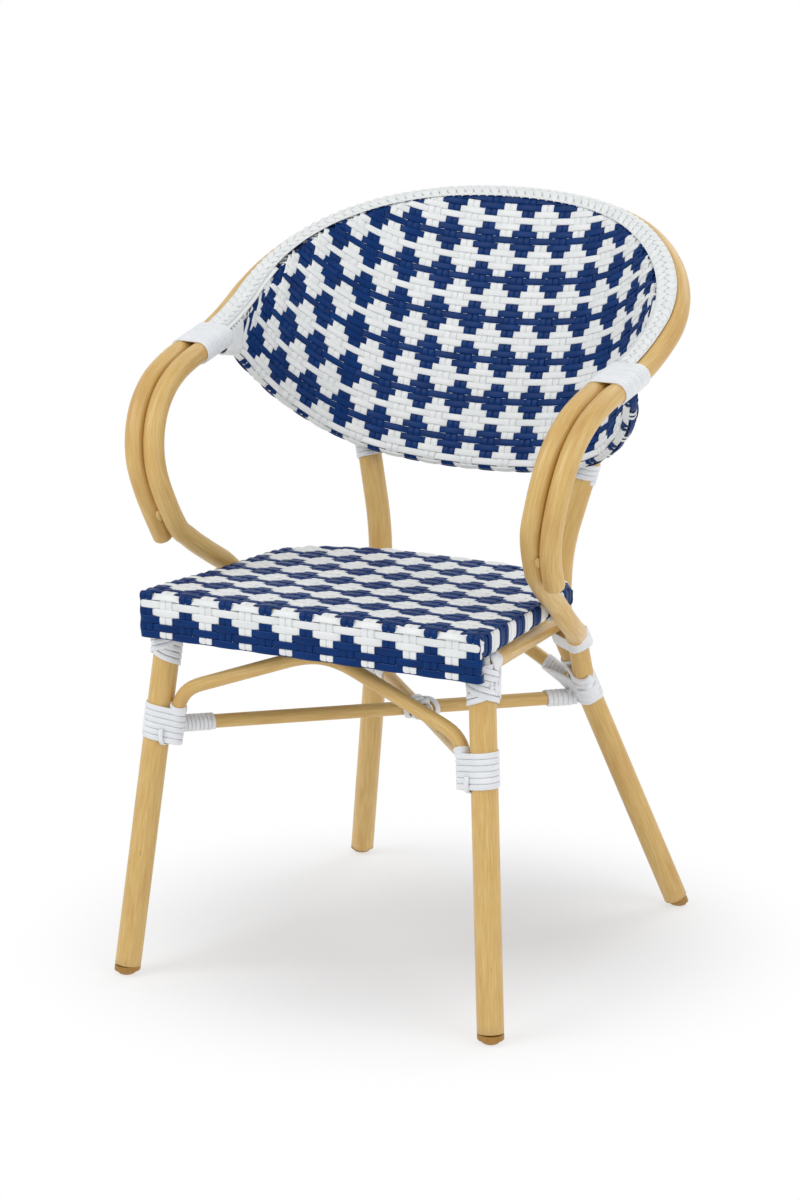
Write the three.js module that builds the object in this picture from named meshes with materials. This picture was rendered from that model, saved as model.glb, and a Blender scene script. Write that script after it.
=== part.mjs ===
// A rattan bistro armchair: a painted tube frame, a woven seat and a woven bowl-shaped back.
// Millimetres. +X is the sitter's left, -Y is the front and +Z is up. The floor is at Z 0.
import * as THREE from "three";
import { mergeVertices } from "three/addons/utils/BufferGeometryUtils.js";

// Clearances
const seatGap = 0.3; // between two pieces that touch on the real chair
const turnGap = 0.6; // between neighbouring turns of a lashing
const weldGap = 0.8; // between the two tubes of an arm

// Heights above the floor
const seatHeight = 450; // top of the seat
const backGap = 101; // from the seat's top to the shell's lower rail
const armRise = 241; // from the seat's top to where the hoop leaves the arm
const hoopRise = 151; // from there to the hoop's highest point

// Widths and depths, between centrelines
const frontFootSpan = 469;
const rearFootSpan = 439;
const hoopWidth = 556;
const hoopDepth = 529; // from the front feet to the rear of the hoop
const rearFootDepth = 526; // from the front feet to the rear feet

const frontLegInset = 20.8; // from the seat's side to the middle of the front leg's top
const frontLegSetback = 39.3; // from the seat's front face to it

// Tubes, as radii
const frontLegRadius = 15;
const rearLegRadius = 14;
const armRadius = 12;
const railRadius = 11;
const braceRadius = 8;
const shellRodRadius = 5;
const legWall = 1.6;
const weldRise = 64; // above the seat's top
const weldLength = 9;
const weldReachShares = [0.4, 0.52, 0.65, 0.77]; // of a tube's radius, out of the groove

// Shares that place the inner arm tube
const seatTouchShare = 0.42; // of the hoop's depth: where it touches the seat's side
const armFootShare = 0.444; // of the arm's rise: how far below the seat's top it stands beside the rear leg
const armSpreadShare = 0.87; // of the two radii: how far beside the rear leg it stands

// Seat
const seatSideShare = 0.76; // of the seat's depth: how long its straight sides are
const seatFrontWidth = 434;
const seatRearWidth = 389;
const seatDepth = 334;
const seatFrontEdge = 8; // how far the seat's front face lies behind the front feet
const seatApron = 47; // height of the front face
const seatSkirt = 31; // height of the side and rear faces
const seatSkin = 4; // thickness of the weave
const seatLip = 16; // how far the weave turns in under its frame
const seatEdgeRound = 9;
const seatTubeRadius = 10;
const apronRailRadius = 7;

// Shell weave and braid
const shellSkin = 3.4; // thickness of the weave round its rod
const shellThickness = 6;
const shellSlit = 1.6;
const braidWidth = 26;
const braidStart = 260; // how far behind the front feet the braid begins
const braidThickness = 3.6;
const braidSlope = 7; // degrees that the braid falls inward
const shellFacing = 0.4; // how far the shell's face looks up, for each step forward

// Lashings, as distances behind the front feet
const armWrapStart = 207;
const armWrapEnd = 252;

// Glides
const glideFlange = 3.4;
const glideHeight = 12;
const glideFootRadius = 10.5;
const plugLength = 22;

// Strands of the lashings
const strandThickness = 2;
const armStrand = 4.6;
const legStrand = 5.8;
const sleeveStrand = 3.9;
const strapWidth = 9;
const smallBandWidth = 6;

// Detail of the meshes, in counts
const tubeSides = 10;
const thinSides = 8;
const loopSteps = 12;
const sleeveSteps = 10;
const thinSleeveSteps = 8;

const materials = {
  bamboo: new THREE.MeshStandardMaterial({ color: 0xdcc083, roughness: 0.45, metalness: 0 }),
  white: new THREE.MeshStandardMaterial({ color: 0xeceeed, roughness: 0.5, metalness: 0 }),
  weave: new THREE.MeshStandardMaterial({ color: 0x5f7199, roughness: 0.5, metalness: 0 }),
  rod: new THREE.MeshStandardMaterial({ color: 0xa9abad, roughness: 0.4, metalness: 0.9 }),
  glide: new THREE.MeshStandardMaterial({ color: 0x8d6d33, roughness: 0.6, metalness: 0 }),
};

const chair = new THREE.Group();
const bothSides = { left: 1, right: -1 };
const up = new THREE.Vector3(0, 0, 1);
const vec = (x, y, z) => new THREE.Vector3(x, y, z);
const mix = (a, b, share) => a + (b - a) * share;
const mirrored = (points, side) => points.map((p) => vec(p.x * side, p.y, p.z));

// Closed bodies, gathered face by face

class Body {
  constructor() {
    this.corners = [];
  }
  triangle(a, b, c) {
    this.corners.push(a, b, c);
  }
  quad(a, b, c, d) {
    this.triangle(a, b, c);
    this.triangle(a, c, d);
  }
  fan(ring, flip) {
    const middle = ring.reduce((sum, p) => sum.add(p), vec(0, 0, 0)).divideScalar(ring.length);
    ring.forEach((p, i) => {
      const next = ring[(i + 1) % ring.length];
      if (flip) this.triangle(middle, next, p);
      else this.triangle(middle, p, next);
    });
  }
  geometry() {
    const volume = this.corners.reduce((sum, p, i) => {
      if (i % 3) return sum;
      return sum + p.dot(this.corners[i + 1].clone().cross(this.corners[i + 2]));
    }, 0);
    const outward = [];
    for (let i = 0; i < this.corners.length; i += 3) {
      const [a, b, c] = this.corners.slice(i, i + 3);
      outward.push(a, ...(volume > 0 ? [b, c] : [c, b]));
    }
    return mergeVertices(new THREE.BufferGeometry().setFromPoints(outward));
  }
}

// A body whose skin runs through a list of rings, each with the same number of points
function ringBody(rings, closed = false) {
  const body = new Body();
  const count = rings[0].length;
  rings.forEach((ring, i) => {
    const next = rings[i + 1] ?? (closed ? rings[0] : null);
    if (!next) return;
    for (let k = 0; k < count; k += 1) {
      const m = (k + 1) % count;
      body.quad(ring[k], ring[m], next[m], next[k]);
    }
  });
  if (!closed) {
    body.fan(rings[0], true);
    body.fan(rings[rings.length - 1], false);
  }
  return body.geometry();
}

function tangents(points, closed) {
  const last = points.length - 1;
  return points.map((p, i) => {
    const before = points[i - 1] ?? (closed ? points[last] : p);
    const after = points[i + 1] ?? (closed ? points[0] : p);
    return after.clone().sub(before).normalize();
  });
}

// The part of a direction that lies square to another one
const across = (wanted, along) => wanted.clone().addScaledVector(along, -wanted.dot(along)).normalize();

// A pair of axes across the route at each of its points. A hint is where the first axis points: a function
// gives it for each point, and a vector for the start, from where it is carried along without twist.
function crossAxes(points, hint, closed) {
  let carried = hint;
  return tangents(points, closed).map((along, i) => {
    const wanted = typeof hint === "function" ? hint(points[i]) : carried;
    const first = across(wanted, along);
    carried = first;
    return { along, first, second: along.clone().cross(first) };
  });
}

function circleRing(centre, axes, radius, sides) {
  return Array.from({ length: sides }, (_, k) => {
    const angle = (2 * Math.PI * k) / sides;
    return centre.clone()
      .addScaledVector(axes.first, radius * Math.cos(angle))
      .addScaledVector(axes.second, radius * Math.sin(angle));
  });
}

// A round tube along a route. Its ends are flat, rounded over (dome), or bored to take a plug.
function tube(points, radius, { sides = tubeSides, hint = up, domes = [0, 0], bore = null } = {}) {
  const axes = crossAxes(points, hint, false);
  const rings = points.map((p, i) => circleRing(p, axes[i], radius, sides));
  const domeSteps = 3;
  [0, points.length - 1].forEach((at, end) => {
    if (!domes[end]) return;
    const outward = end ? 1 : -1;
    for (let k = 1; k <= domeSteps; k += 1) {
      const angle = (Math.PI / 2) * (k / (domeSteps + 1));
      const rise = outward * domes[end] * Math.sin(angle);
      const centre = points[at].clone().addScaledVector(axes[at].along, rise);
      const inset = radius - domes[end] * (1 - Math.cos(angle));
      const ring = circleRing(centre, axes[at], inset, sides);
      if (end) rings.push(ring);
      else rings.unshift(ring);
    }
  });
  if (bore) {
    const mouth = circleRing(points[0], axes[0], bore.radius, sides);
    const floorCentre = points[0].clone().addScaledVector(axes[0].along, bore.depth);
    const floor = circleRing(floorCentre, axes[0], bore.radius, sides);
    rings.unshift(floor, mouth);
  }
  return ringBody(rings);
}

const closedTube = (points, radius) => {
  const axes = crossAxes(points, up, true);
  return ringBody(points.map((p, i) => circleRing(p, axes[i], radius, thinSides)), true);
};

const smooth = (points, steps) =>
  new THREE.CatmullRomCurve3(points, false, "centripetal").getPoints(steps);

// A straight-sided route whose inner corners are rounded with short curves
function bent(points, rounding, steps) {
  const route = [points[0]];
  for (let i = 1; i < points.length - 1; i += 1) {
    const corner = points[i];
    const reach = (other) => Math.min(rounding, corner.distanceTo(other) / 2);
    const enter = corner.clone().add(points[i - 1].clone().sub(corner).setLength(reach(points[i - 1])));
    const leave = corner.clone().add(points[i + 1].clone().sub(corner).setLength(reach(points[i + 1])));
    route.push(...new THREE.QuadraticBezierCurve3(enter, corner, leave).getPoints(steps));
  }
  route.push(points[points.length - 1]);
  return route;
}

function addMesh(name, geometry, material) {
  const mesh = new THREE.Mesh(geometry, material);
  mesh.name = name;
  chair.add(mesh);
}

// The point of a route where one coordinate has a given value, counted from the route's start
function pointAt(route, axis, value) {
  for (let i = 1; i < route.length; i += 1) {
    const [a, b] = [route[i - 1], route[i]];
    if ((a[axis] - value) * (b[axis] - value) <= 0 && a[axis] !== b[axis]) {
      return a.clone().lerp(b, (value - a[axis]) / (b[axis] - a[axis]));
    }
  }
  throw new Error(`no point with ${axis} ${value}`);
}

// Routes of the frame, all for the side with +X

const armHeight = seatHeight + armRise;
const hoopHalf = hoopWidth / 2;

// Shares of half the hoop's width, of the hoop's depth, and of the arm's rise from the seat
const armShares = [
  [0.896, 0.218, 0.166], [0.907, 0.188, 0.29], [0.928, 0.169, 0.415], [0.951, 0.163, 0.539],
  [0.968, 0.174, 0.664], [0.98, 0.204, 0.788], [0.989, 0.259, 0.892], [0.994, 0.34, 0.963], [0.998, 0.42, 1],
];
// Shares of half the hoop's width, of its depth, and of its rise above the arm
const hoopShares = [
  [1, 0.51, 0.07], [1.002, 0.592, 0.18], [0.999, 0.666, 0.316], [0.965, 0.7335, 0.462], [0.892, 0.8, 0.613],
  [0.776, 0.866, 0.754], [0.62, 0.928, 0.866], [0.431, 0.974, 0.942], [0.221, 0.9955, 0.985],
];
const hoopSpot = (x, y, z) => vec(x * hoopHalf, y * hoopDepth, z);
const armPoints = armShares.map(([x, y, z]) => hoopSpot(x, y, mix(seatHeight, armHeight, z)));
const hoopPoints = hoopShares.map(([x, y, z]) => hoopSpot(x, y, armHeight + z * hoopRise));
const hoopTop = vec(0, hoopDepth, armHeight + hoopRise);
const hoopSide = [...armPoints, ...hoopPoints];
const hoopRoute = smooth([...hoopSide, hoopTop, ...mirrored([...hoopSide].reverse(), -1)], 68);

// Front leg: a straight tube that leans in and back
const frontLegFoot = vec(frontFootSpan / 2, 0, 0);
const seatHalf = seatFrontWidth / 2;
const seatRearHalfWidth = seatRearWidth / 2;
const seatSkirtBase = seatHeight - seatSkirt;
const frontLegHead = vec(seatHalf - frontLegInset, seatFrontEdge + frontLegSetback, seatSkirtBase);
const onFrontLeg = (z) => frontLegFoot.clone().lerp(frontLegHead, z / frontLegHead.z);
const frontLegLean = frontLegHead.clone().sub(frontLegFoot);
const legSlope = Math.hypot(frontLegLean.x, frontLegLean.y) / frontLegLean.z;
const frontLegTop = onFrontLeg(seatSkirtBase - seatGap - frontLegRadius * legSlope);
const alongLeg = (onLeg, reach) => {
  const foot = onLeg(0);
  return onLeg(seatHeight).sub(foot).setLength(reach).add(foot);
};
const frontLegRoute = [alongLeg(onFrontLeg, glideHeight), onFrontLeg(seatHeight / 2), frontLegTop];

// Rear leg and back post: one tube, bent where it passes the seat, that runs up behind the shell to the hoop
const rearLegFoot = vec(rearFootSpan / 2, rearFootDepth, 0);
const shellRailHeight = seatHeight + backGap;
const rearKnee = vec(0.425 * hoopHalf, 0.757 * hoopDepth, 0.83 * seatHeight);
const postBase = vec(0.432 * hoopHalf, 0.757 * hoopDepth, 1.02 * seatHeight);
const postPass = vec(0.515 * hoopHalf, 0.774 * hoopDepth, shellRailHeight);
const postReachShare = 0.3; // of its radius: how far the post's slanting end stands off the hoop
const postAim = pointAt(hoopRoute, "z", mix(armHeight, armHeight + hoopRise, 0.76));
const postStop = armRadius + postReachShare * rearLegRadius;
const postTop = postAim.clone().add(postPass.clone().sub(postAim).setLength(postStop));
const rearLegAxis = rearKnee.clone().sub(rearLegFoot);
const onRearLeg = (z) => rearLegFoot.clone().addScaledVector(rearLegAxis, z / rearLegAxis.z);
const rearLegCorners = [alongLeg(onRearLeg, glideHeight), rearKnee, postBase, postPass, postTop];
const rearLegRoute = bent(rearLegCorners, 2 * rearLegRadius, 3);

// The inner arm tube keeps beside the outer one, then runs along the seat's side and down to the rear leg
const armPitch = 2 * armRadius + weldGap;
const armPartingShare = 0.28; // of the arm's rise: where the inner tube leaves the outer one
const seatSideAt = (y) => mix(seatHalf, seatRearHalfWidth, (y - seatFrontEdge) / (seatSideShare * seatDepth));
const armJoinShare = 0.2075; // of the arm's rise: where the inner tube's own bends begin
const armTubePlaces = [
  pointAt(hoopRoute, "z", seatHeight + armJoinShare * armRise).x - armPitch,
  seatSideAt(seatTouchShare * hoopDepth) + armRadius + 2 * seatGap,
  onRearLeg(seatHeight - armFootShare * armRise).x + armSpreadShare * (armRadius + rearLegRadius),
];
// Shares: sideways from the outer arm (0) past the seat's side (1) to the rear leg (2), then of the hoop's
// depth, then of the arm's rise from the seat's top
const armEndShares = [
  [0, 0.217, armJoinShare], [0.253, 0.266, 0.125], [0.616, 0.326, 0.041], [0.767, 0.36, -0.004],
  [1, 0.42, -0.105], [1.104, 0.48, -0.183], [1.306, 0.548, -0.2465], [1.567, 0.612, -0.2855],
];
const armFootShares = [
  [1.762, 0.655, -0.306], [1.937, 0.692, -0.329], [2, 0.722, -0.444], [2, 0.748, -0.644],
];
const seatFollower = ([x, y, z]) => {
  const from = Math.min(1, Math.max(0, Math.floor(x)));
  const sideways = mix(armTubePlaces[from], armTubePlaces[from + 1], x - from);
  return vec(sideways, y * hoopDepth, seatHeight + z * armRise);
};
const armTubeTop = hoopPoints[0].y - armRadius; // how far back the inner tube's upper end lies
const armParting = seatHeight + armPartingShare * armRise;
const besideHoop = hoopRoute
  .filter((p, i) => i < hoopRoute.length / 2 && p.y < armTubeTop && p.z > armParting)
  .concat(pointAt(hoopRoute, "y", armTubeTop))
  .map((p) => vec(p.x - armPitch, p.y, p.z))
  .reverse();
const armTubeRoute = [
  ...besideHoop,
  ...smooth(armEndShares.map(seatFollower), 12),
  ...bent(armFootShares.map(seatFollower), 1.4 * armRadius, 2),
];

// Arches under the seat, and the stretchers that cross
const braceTop = 0.7 * seatHeight;
const braceBottom = 0.612 * seatHeight;
const archCorner = 0.745 * seatHeight;
const beside = (route, z, gap) => {
  const p = route(z);
  return vec(p.x - gap, p.y, p.z);
};
const frontArchGap = frontLegRadius + braceRadius + 2 * seatGap;
const archApex = seatHeight - seatApron - braceRadius - 4 * seatGap;
const archDepth = seatFrontEdge + 0.11 * seatDepth;
const frontArchSide = [
  beside(onFrontLeg, braceBottom, frontArchGap), beside(onFrontLeg, archCorner, frontArchGap),
  vec(0.1 * frontLegTop.x, archDepth, archApex),
];
const rearArchGap = rearLegRadius + 1.75 * braceRadius;
const rearArchFoot = beside(onRearLeg, 0.66 * seatHeight, rearArchGap);
const rearArchApex = 0.77 * seatHeight;
const rearArchSide = [
  rearArchFoot, vec(0.6 * rearArchFoot.x, rearArchFoot.y, mix(rearArchFoot.z, rearArchApex, 0.55)),
  vec(0.2 * rearArchFoot.x, rearArchFoot.y - braceRadius, rearArchApex),
];
const archRoute = (side) => bent([...side, ...mirrored([...side].reverse(), -1)], 2 * braceRadius, 4);

const stretcherHeight = 0.648 * seatHeight;
const stretcherDrop = 16; // how much lower a stretcher's rear end lies
const stretcherFront = onFrontLeg(stretcherHeight);
const stretcherRear = onRearLeg(stretcherHeight - stretcherDrop);
const stretcherLine = (side, share) => vec(
  side * mix(stretcherFront.x, -stretcherRear.x, share),
  mix(stretcherFront.y, stretcherRear.y, share),
  mix(stretcherFront.z, stretcherRear.z, share),
);
const stretcherLength = stretcherLine(1, 0).distanceTo(stretcherLine(1, 1));
const lashingRise = strandThickness + 2 * seatGap; // how far a lashing stands out from its tube
const frontInset = (frontLegRadius + lashingRise + 1.2 * braceRadius) / stretcherLength;
const rearInset = (rearLegRadius + lashingRise + braceRadius) / stretcherLength;
const crossShare = stretcherFront.x / (stretcherFront.x + stretcherRear.x);
const crossTurn = 2 * Math.atan2(stretcherFront.x + stretcherRear.x, stretcherRear.y - stretcherFront.y);
const crossReachShare = (1 + Math.abs(Math.cos(crossTurn))) / Math.sin(crossTurn);
const crossInset = (braceRadius * crossReachShare + seatGap) / stretcherLength;

// Side rails from the front legs to the rear legs
const railFront = onFrontLeg(frontLegTop.z - railRadius);
const rearLegAtRail = onRearLeg(0.826 * seatHeight);
const railAlong = rearLegAtRail.clone().sub(railFront).normalize();
const railRoute = [
  railFront.clone().addScaledVector(railAlong, frontLegRadius + seatGap),
  rearLegAtRail.clone().addScaledVector(railAlong, -(rearLegRadius + 4 * seatGap)),
];

// The rod that the shell is woven on: it follows the hoop inside, and hangs between the arms below
const rimInner = shellRodRadius + 4 * seatGap;
const rimOuter = rimInner + shellSkin;
const rodOffset = armRadius + rimOuter + 2 * seatGap;
const hoopInside = hoopPoints.slice(1).concat(hoopTop).map((p, i, list) => {
  const before = list[i - 1] ?? hoopPoints[0];
  const after = list[i + 1] ?? vec(-list[i - 1].x, list[i - 1].y, list[i - 1].z);
  const inward = up.clone().cross(after.clone().sub(before)).normalize();
  return p.clone().addScaledVector(inward, rodOffset);
});
const lowerShares = [
  [0.93, 0.533, 0.955], [0.914, 0.5465, 0.908], [0.875, 0.597, 0.7], [0.806, 0.646, 0.485],
  [0.647, 0.709, 0.214], [0.482, 0.73, 0.088], [0.324, 0.736, 0.036], [0.162, 0.7395, 0.008], [0, 0.74, 0],
];
const lowerRod = lowerShares.map(([x, y, z]) => hoopSpot(x, y, mix(shellRailHeight, armHeight, z)));
const halfSteps = 12;
const lowerHalf = smooth(lowerRod.slice(1), halfSteps);
const upperHalf = smooth(hoopInside, halfSteps);
const acrossBoth = (half) => [...half, ...mirrored(half.slice(0, -1).reverse(), -1)];

// Builders for the fittings

// The fillet weld that joins the two tubes of an arm, low on its front
function weldBead(sign) {
  const outer = pointAt(hoopRoute, "z", seatHeight + weldRise);
  const inner = pointAt(armTubeRoute, "z", seatHeight + weldRise);
  const run = pointAt(hoopRoute, "z", seatHeight + weldRise + weldLength).sub(outer).normalize();
  const between = inner.clone().sub(outer).addScaledVector(run, -run.dot(inner.clone().sub(outer)));
  const middle = outer.clone().addScaledVector(between, 1 / 2);
  const frontward = run.clone().cross(between).normalize();
  if (frontward.y > 0) frontward.negate();
  const halfSpan = between.length() / 2;
  const sideways = between.clone().normalize();
  const clear = armRadius + 3 * seatGap;
  const halfWidthAt = (reach) => halfSpan - Math.sqrt(clear ** 2 - (reach * armRadius) ** 2);
  const ring = (reachAlong) => {
    const corners = [];
    weldReachShares.forEach((reach) => corners.push([reach, halfWidthAt(reach)]));
    [...weldReachShares].reverse().forEach((reach) => corners.push([reach, -halfWidthAt(reach)]));
    return corners.map(([reach, width]) => middle.clone()
      .addScaledVector(frontward, reach * armRadius)
      .addScaledVector(sideways, width)
      .addScaledVector(run, reachAlong));
  };
  return ringBody([ring(-weldLength / 2), ring(weldLength / 2)].map((points) => mirrored(points, sign)));
}

// A glide: a plug inside the leg's bore, a flange under its end and a foot that stands flat on the floor
function glide(onLeg, legRadius, sign) {
  const axes = crossAxes([onLeg(0), onLeg(glideHeight)], vec(0, 1, 0), false)[0];
  const ring = (reach, radius) => circleRing(alongLeg(onLeg, reach), axes, radius, tubeSides);
  const plug = legRadius - legWall - seatGap;
  const flangeTop = glideHeight - seatGap;
  const foot = circleRing(onLeg(0), axes, glideFootRadius, tubeSides).map((p) => {
    const drop = p.z / axes.along.z;
    return p.addScaledVector(axes.along, -drop);
  });
  const rings = [ring(glideHeight + plugLength, plug), ring(flangeTop, plug), ring(flangeTop, legRadius),
    ring(flangeTop - glideFlange, legRadius), foot];
  return ringBody(rings.map((points) => mirrored(points, sign)));
}

// Axes for what goes round one or two tubes: along the first one, and from it towards the second
function lashingAxes(tubes) {
  const [line, second] = tubes;
  const along = line.to.clone().sub(line.from).normalize();
  const first = across(second ? second.from.clone().sub(line.from) : up.clone().cross(along), along);
  return { along, first, other: along.clone().cross(first) };
}

// A lashing: one flat strand wound round one or two tubes, each given by its two ends, in open turns.
// Its ends run straight for one width of the strand. It prints the least gap between its turns.
function lashing(name, { tubes, turns, width, steps = loopSteps, tilt = 0, slack = 0, flat = 1, sign = 1 }) {
  const line = tubes[0];
  const { along, first, other } = lashingAxes(tubes);
  const pitch = width + turnGap;
  const length = line.from.distanceTo(line.to);
  const total = Math.round(turns * steps);
  const stand = seatGap + slack + strandThickness / 2;
  const lift = 1 / Math.cos(Math.PI / steps);
  const points = [];
  const outwards = [];
  for (let k = 0; k <= total; k += 1) {
    const angle = (2 * Math.PI * k) / steps;
    const out = first.clone().multiplyScalar(Math.cos(angle)).addScaledVector(other, Math.sin(angle));
    const flattened = out.clone().addScaledVector(other, (flat - 1) * Math.sin(angle));
    const travel = (length - turns * pitch) / 2 + (pitch * k) / steps + tilt * Math.cos(angle);
    const spots = tubes.map((tubeLine) => tubeLine.from.clone().lerp(tubeLine.to, travel / length)
      .addScaledVector(flattened, (tubeLine.radius + stand) * lift));
    points.push(spots.reduce((best, p) => (p.dot(out) > best.dot(out) + seatGap ? p : best)));
    outwards.push(out);
  }
  const startRun = points[0].clone().sub(points[1]).setLength(width);
  const endRun = points[total].clone().sub(points[total - 1]).setLength(width);
  points.unshift(points[0].clone().add(startRun));
  outwards.unshift(outwards[0]);
  points.push(points[total + 1].clone().add(endRun));
  outwards.push(outwards[total + 1]);
  const edges = points.map((p) => [1, -1].map((way) => p.clone().addScaledVector(along, (way * width) / 2)));
  const rings = points.map((p, i) => {
    const half = strandThickness / 2;
    const [near, far] = edges[i];
    return [[near, half], [near, -half], [far, -half], [far, half]]
      .map(([edge, reach]) => edge.clone().addScaledVector(outwards[i], reach));
  });
  console.log(`${name}: least gap between turns ${leastGap(edges, steps).toFixed(2)} mm`);
  return ringBody(rings.map((ring) => mirrored(ring, sign)));
}

// The least distance from one edge of a strand to the other edge a turn further on
function leastGap(edges, steps) {
  let least = Infinity;
  const near = [];
  edges.slice(0, -1).forEach((pair, i) => {
    const share = 1 / 2;
    near.push({ at: i, upper: pair[0], lower: pair[1] });
    near.push({
      at: i + share,
      upper: pair[0].clone().lerp(edges[i + 1][0], share),
      lower: pair[1].clone().lerp(edges[i + 1][1], share),
    });
  });
  near.forEach((a) => near.forEach((b) => {
    if (b.at - a.at > steps / 2) least = Math.min(least, a.upper.distanceTo(b.lower));
  }));
  return least;
}

// A closed strap round one or two tubes that are cut square to the first one's length
function strap({ tubes, width, sign = 1 }) {
  const { along, first, other } = lashingAxes(tubes);
  const stand = seatGap + strandThickness / 2;
  const lift = 1 / Math.cos(Math.PI / loopSteps);
  const rings = Array.from({ length: loopSteps }, (_, k) => {
    const angle = (2 * Math.PI * (k + 1 / 2)) / loopSteps;
    const out = first.clone().multiplyScalar(Math.cos(angle)).addScaledVector(other, Math.sin(angle));
    const spots = tubes.map((tubeLine) => tubeLine.from.clone().lerp(tubeLine.to, 1 / 2)
      .addScaledVector(out, (tubeLine.radius + stand) * lift));
    const spot = spots.reduce((best, p) => (p.dot(out) > best.dot(out) + seatGap ? p : best));
    const half = strandThickness / 2;
    return [[1, half], [1, -half], [-1, -half], [-1, half]].map(([way, reach]) => spot.clone()
      .addScaledVector(along, (way * width) / 2)
      .addScaledVector(out, reach));
  });
  return ringBody(rings.map((ring) => mirrored(ring, sign)), true);
}

// The braid: a flat band from above the hoop's crown inward over the shell's rim, with a groove in its middle
function braid() {
  const start = hoopRoute.findIndex((p) => p.y > braidStart && p.z > armHeight);
  const route = hoopRoute.slice(start, hoopRoute.length - start);
  const inwardOf = (p, i) => {
    const before = route[i - 1] ?? p;
    const after = route[i + 1] ?? p;
    return up.clone().cross(after.clone().sub(before)).normalize();
  };
  const slope = Math.tan(THREE.MathUtils.degToRad(braidSlope));
  const floor = armRadius + 4 * seatGap;
  // Shares of the braid's width and of its thickness
  const profileShares = [[0, 0], [1, 0], [1, 0.5], [0.75, 1], [0.5, 0.7], [0.25, 1], [0, 0.5]];
  const profile = profileShares.map(([reach, rise]) =>
    [reach * braidWidth, floor - slope * reach * braidWidth + rise * braidThickness]);
  const along = tangents(route, false);
  return ringBody(route.map((p, i) => {
    const inward = inwardOf(p, i);
    const lift = along[i].clone().cross(inward).normalize();
    if (lift.z < 0) lift.negate();
    return profile.map(([reach, rise]) => p.clone()
      .addScaledVector(inward, reach)
      .addScaledVector(lift, rise));
  }));
}

// A woven panel: a front grid, a back grid and, round their edge, a rim made of one profile after another.
// Both grids are lists of rows, and profiles follow the grid's edge: the first row, the far side, the last
// row backwards and the near side backwards.
function panel(front, back, profiles) {
  const body = new Body();
  const rows = front.length;
  const columns = front[0].length;
  for (let v = 0; v < rows - 1; v += 1) {
    for (let u = 0; u < columns - 1; u += 1) {
      body.quad(front[v][u], front[v][u + 1], front[v + 1][u + 1], front[v + 1][u]);
      body.quad(back[v][u], back[v + 1][u], back[v + 1][u + 1], back[v][u + 1]);
    }
  }
  const frontEdge = edgeOf(front);
  const backEdge = edgeOf(back);
  const full = profiles.map((profile, i) => [frontEdge[i], ...profile, backEdge[i]]);
  full.forEach((profile, i) => {
    const next = full[(i + 1) % full.length];
    for (let k = 0; k < profile.length - 1; k += 1) {
      body.quad(profile[k], profile[k + 1], next[k + 1], next[k]);
    }
  });
  return body.geometry();
}

function edgeOf(grid) {
  const last = grid.length - 1;
  const far = grid[0].length - 1;
  return [
    ...grid[0],
    ...grid.slice(1, last).map((row) => row[far]),
    ...[...grid[last]].reverse(),
    ...grid.slice(1, last).map((row) => row[0]).reverse(),
  ];
}

// A grid between two edges, with the places of its edge points taken from a list in the order of edgeOf
function gridBetween(edge, rows, columns) {
  const first = edge.slice(0, columns);
  const farSide = edge.slice(columns, columns + rows - 2);
  const last = edge.slice(columns + rows - 2, 2 * columns + rows - 2).reverse();
  const nearSide = edge.slice(2 * columns + rows - 2).reverse();
  return Array.from({ length: rows }, (_, v) => {
    if (v === 0) return first;
    if (v === rows - 1) return last;
    return first.map((p, u) => {
      if (u === 0) return nearSide[v - 1];
      if (u === columns - 1) return farSide[v - 1];
      return p.clone().lerp(last[u], v / (rows - 1));
    });
  });
}

// Frame pieces

for (const [side, sign] of Object.entries(bothSides)) {
  const flip = (route) => mirrored(route, sign);
  const boreFor = (radius) => ({ radius: radius - legWall, depth: plugLength + legWall });
  const hint = vec(0, 1, 0);
  addMesh(`front_leg_${side}`,
    tube(flip(frontLegRoute), frontLegRadius, { hint, bore: boreFor(frontLegRadius) }), materials.bamboo);
  addMesh(`rear_leg_${side}`,
    tube(flip(rearLegRoute), rearLegRadius, { hint, bore: boreFor(rearLegRadius) }), materials.bamboo);
  addMesh(`arm_tube_${side}`,
    tube(flip(armTubeRoute), armRadius, { domes: [0, armRadius / 3] }), materials.bamboo);
  addMesh(`seat_side_rail_${side}`, tube(flip(railRoute), railRadius), materials.bamboo);
  addMesh(`arm_weld_${side}`, weldBead(sign), materials.bamboo);
  addMesh(`front_glide_${side}`, glide(onFrontLeg, frontLegRadius, sign), materials.glide);
  addMesh(`rear_glide_${side}`, glide(onRearLeg, rearLegRadius, sign), materials.glide);
}
const armDome = armRadius / 3;
const thin = { sides: thinSides };
addMesh("back_hoop", tube(hoopRoute, armRadius, { domes: [armDome, armDome] }), materials.bamboo);
addMesh("front_arch", tube(archRoute(frontArchSide), braceRadius, thin), materials.bamboo);
addMesh("rear_arch", tube(archRoute(rearArchSide), braceRadius, thin), materials.bamboo);
const stretcher = (name, sign, from, to) => addMesh(name,
  tube([stretcherLine(sign, from), stretcherLine(sign, to)], braceRadius, thin), materials.bamboo);
stretcher("stretcher_long", -1, frontInset, 1 - rearInset);
stretcher("stretcher_front_half", 1, frontInset, crossShare - crossInset);
stretcher("stretcher_rear_half", 1, crossShare + crossInset, 1 - rearInset);

// Seat: the outline in plan, the tube frame inside it and the weave over it

const seatRows = 7;
const seatColumns = 17;
const sideShares = [0.085, 0.3, 0.53, 0.76, 0.93];
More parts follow.
